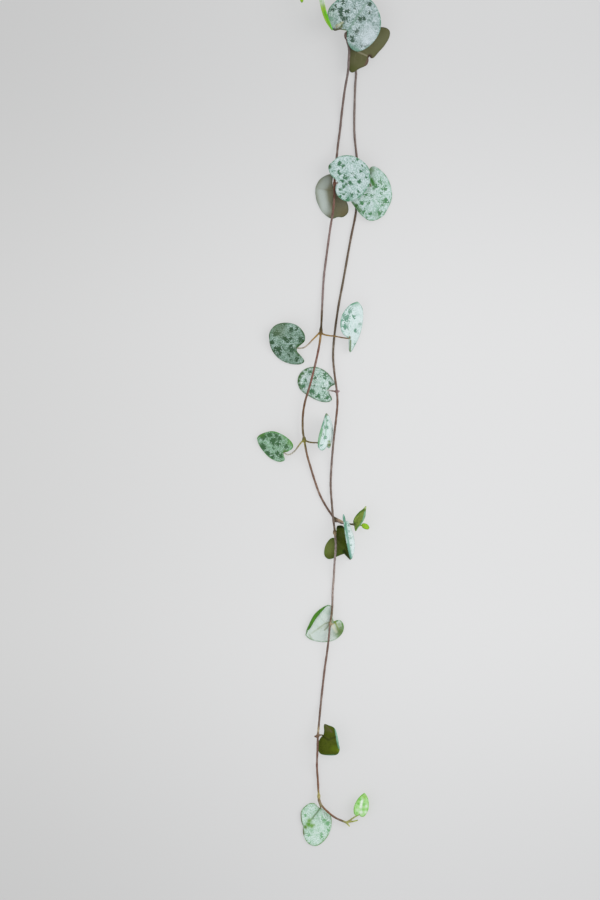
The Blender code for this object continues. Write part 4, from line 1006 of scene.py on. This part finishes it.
EIGHTH = dict(
    stalk=(-2.7, -128.3), tip=(3.5, -131.6), heights=(2.1, 6.2, 5, 2.3), rib=0.5, waves=0.7,
    left=[(3, -128.4), (1.9, -125.1), (-0.8, -123.8), (-2.5, -123.4), (-2.4, -126)],
    right=[(4.1, -134), (2.9, -136.3), (-1.2, -136.6), (-4.4, -135.7), (-5.2, -132.4), (-4, -129.4)],
    washes=[(1.9, -133.8, 1.6, (96, 116, 14), 0.8), (3.4, -134.4, 0.9, (108, 130, 24), 0.9),
        (-1, -125.6, 1.1, (92, 92, 48), 0.8)],
    strokes=[(2.3, -125, 3.1, -130.6, 0.4, (150, 200, 180), 0.9),
        (3.1, -130.6, 3.8, -133.6, 0.4, (120, 176, 150), 0.8),
        (-2.9, -136.8, 1.7, -136.6, 0.35, (92, 152, 130), 0.8),
        (-2.3, -123.5, 0.7, -126.7, 0.4, (104, 94, 66), 0.8),
        # The last two strokes are painted shade in the valley between the ridges
        (-2.9, -128.7, -0.8, -130, 0.4, (48, 56, 4), 0.7),
        (-0.8, -130, 2.4, -128.8, 0.4, (50, 58, 6), 0.6)],
)
grown_blade("leaf_eighth", EIGHTH, eighth_back, second_silver, 16)

# The growing tip: a pale leaf with a dark green fold on the left and a bright young
# leaf on the right. New fleshy blades, grown on short stalks beside two tiny buds.

tip_pale = leaf_finish(
    "tip_pale", (212, 230, 222), (164, 204, 174), (116, 174, 120), (180, 210, 184), (112, 160, 92),
    density=0.56, edge_width=0.35,
)
TIP_LEFT = dict(
    stalk=(-3.9, -158.8), tip=(-11.3, -166.5), heights=(1.4, 0.45, 0.45, 1.3), rib=-0.45,
    left=[(-11.2, -170), (-9.2, -173.6), (-5.6, -174.7), (-1.7, -171.7), (0.6, -166.6), (0.2, -161.2),
        (-2, -159.4)],
    right=[(-12.2, -163.6), (-12, -159.8), (-9, -156.9), (-6.4, -156.8), (-5.1, -158.2)],
    patches=[(-10.4, -161.8, 0.9), (-9, -170.3, 1), (-3.7, -169.6, 1), (-0.8, -164.9, 1),
        (-2.3, -163.5, 1.2), (-0.5, -168.1, 0.8), (-3.3, -170.9, 0.8)],
    washes=[(-8.7, -164.1, 1, (110, 164, 62), 1), (-9, -165.6, 1.2, (92, 156, 24), 1),
        (-10.3, -166.7, 0.9, (92, 136, 28), 1), (-7.7, -166.2, 1, (108, 160, 52), 1),
        (-6.7, -165.8, 0.5, (120, 168, 80), 0.9), (-2.5, -158.1, 0.6, (190, 214, 196), 0.6)],
    strokes=[(-3.4, -157.7, -7.3, -163, 0.38, (92, 126, 74), 0.8),
        (-7.3, -163, -8.6, -164.2, 0.5, (112, 150, 84), 0.8),
        (-12.4, -159.6, -12.2, -163.8, 0.4, (98, 106, 56), 0.9),
        (-12.2, -163.8, -11, -169.7, 0.45, (86, 100, 38), 0.9),
        (-5.9, -160.4, -4.2, -164.6, 0.3, (150, 184, 158), 0.5)],
)
grown_blade("leaf_tip_left", TIP_LEFT, tip_pale, seventh_back, 17)
tip_bright = leaf_finish(
    "tip_bright", (158, 216, 120), (188, 228, 168), (116, 196, 70), (224, 242, 218), (128, 194, 74),
    density=0.52, edge_width=0.25,
)
TIP_YOUNG = dict(
    stalk=(12.2, -161.4), tip=(14.6, -152.3), heights=(2.9, 3.8, 4.1, 3), waves=0.3,
    left=[(12.2, -154.2), (10.2, -157.6), (10, -160.9), (11.2, -162)],
    right=[(16, -154.9), (16.2, -159), (14.4, -162.2), (12.8, -162.3)],
    washes=[(13, -160.4, 0.8, (232, 243, 228), 0.9), (15.2, -157.9, 0.6, (222, 238, 218), 0.8),
        (15, -160.4, 0.6, (222, 238, 218), 0.8), (11.6, -159.4, 0.5, (212, 234, 204), 0.8),
        (14.2, -157.1, 0.7, (118, 200, 78), 0.8), (11.9, -156.8, 0.6, (110, 190, 62), 0.9),
        (14, -159.3, 0.6, (136, 208, 100), 0.8), (14.5, -154, 0.8, (148, 200, 82), 0.9),
        (12.5, -155.1, 0.7, (114, 194, 68), 0.9), (15.8, -159.3, 0.5, (128, 200, 88), 0.8),
        (11.2, -160.9, 0.6, (124, 196, 84), 0.8)],
    strokes=[(13.4, -155.7, 12.9, -158.3, 0.55, (236, 245, 234), 0.9)],
)
grown_blade("leaf_tip_young", TIP_YOUNG, tip_bright, lime_young, 18)

# Two sprouts near the cut end, on one thin side stem: a folded leaf seen on edge and
# the tip of a smaller one. New growth, lime green and still smooth.

SPROUT_LONG = dict(
    stalk=(-4.5, 182.7), tip=(1, 167.4), heights=(9.5, 12, 13.5, 8), waves=0.2, thickness=0.6,
    left=[(-0.4, 171), (-2, 175.6), (-2.6, 180.2), (-3.6, 183.9)],
    right=[(-1.7, 171.2), (-3.4, 175.6), (-4.4, 180), (-5.3, 182.8)],
    washes=[(-3.1, 180.6, 2.6, (224, 238, 222), 0.9), (-3.8, 179.8, 0.5, (130, 196, 70), 0.7)],
    strokes=[(-1.9, 175.1, 1.1, 168, 0.9, (104, 196, 16), 0.9)],
)
grown_blade("leaf_sprout_long", SPROUT_LONG, lime_young, lime_young, 19)
SPROUT_SMALL = dict(
    stalk=(-12.4, 186.5), tip=(-11.8, 179.2), heights=(6.6, 5.6, 8, 5), waves=0.2,
    left=[(-11, 181.8), (-10.8, 184.6), (-11.6, 186.5)],
    right=[(-12.7, 181.4), (-13.3, 184), (-13.1, 186.1)],
)
grown_blade("leaf_sprout_small", SPROUT_SMALL, lime_young, lime_young, 20)

# The table, the light and the camera. A plain pale surface that glows a little as painted light
# that softens the shadows, brighter to the right and darker towards both far ends; a large soft
# light from the right, a weaker one from the left, and a camera that looks straight down on the vine.

bpy.ops.object.select_all(action="DESELECT")
bpy.ops.mesh.primitive_plane_add(size=6)
table = bpy.context.object
table.name = "table_top"
table_finish, tree, shader = new_finish("table_paint_and_glow")
place = placed_node(tree, "ShaderNodeTexCoord").outputs["Object"]
spot = placed_node(tree, "ShaderNodeSeparateXYZ", {"Vector": place}).outputs
# Painted light: the table's glow grows brighter to the right and fades darker towards both far ends
lit = eased(tree, spot["X"], -0.2, 0.06)
far = eased(tree, sum_of(tree, "ABSOLUTE", sum_of(tree, "ADD", spot["Y"], 0.03)), 0.05, 0.2, 0, 0.17)
dim_glow, bright_glow = (0.43, 0.428, 0.424, 1), (0.545, 0.545, 0.547, 1)
glow = blend_colour(tree, lit, dim_glow, bright_glow)
glow = blend_colour(tree, far, glow, (0, 0, 0, 1))
tree.links.new(glow, shader.inputs["Emission Color"])
shader.inputs["Emission Strength"].default_value = 1.0
shader.inputs["Base Color"].default_value = (0.22, 0.22, 0.22, 1)
shader.inputs["Roughness"].default_value = 0.8
shader.inputs["Specular IOR Level"].default_value = 0.2
table.data.materials.append(table_finish)


def soft_light(name, place, size, power, colour):
    """A square soft light that faces the middle of the vine."""
    data = bpy.data.lights.new(name, "AREA")
    data.size = size
    data.energy = power
    data.color = colour
    made = bpy.data.objects.new(name, data)
    made.location = place
    made.rotation_euler = (-Vector(place)).to_track_quat("-Z", "Y").to_euler()
    bpy.context.scene.collection.objects.link(made)


soft_light("window_light", (1.6, 0.5, 1.5), 1.6, 22, (1.0, 0.99, 0.97))
soft_light("room_fill", (-1.4, -0.6, 1.8), 2.2, 9, (0.96, 0.98, 1.0))
world = bpy.data.worlds.new("soft_room")
world.use_nodes = True
world.node_tree.nodes["Background"].inputs["Color"].default_value = (0.96, 0.98, 1.0, 1)
world.node_tree.nodes["Background"].inputs["Strength"].default_value = 0.62
bpy.context.scene.world = world
bpy.context.scene.view_settings.view_transform = "Standard"

# In metres: the camera's height and the stretch of table that the picture shows from
# top to bottom; then the width of its sensor in millimetres
CAMERA_HEIGHT = 6.0
FRAME_HEIGHT = 0.378
SENSOR = 36
camera_data = bpy.data.cameras.new("view_from_above")
camera_data.sensor_width = SENSOR
camera_data.lens = SENSOR * CAMERA_HEIGHT / FRAME_HEIGHT
camera = bpy.data.objects.new("view_from_above", camera_data)
camera.location = (-0.0103, -0.0168, CAMERA_HEIGHT)
bpy.context.scene.collection.objects.link(camera)
bpy.context.scene.camera = camera
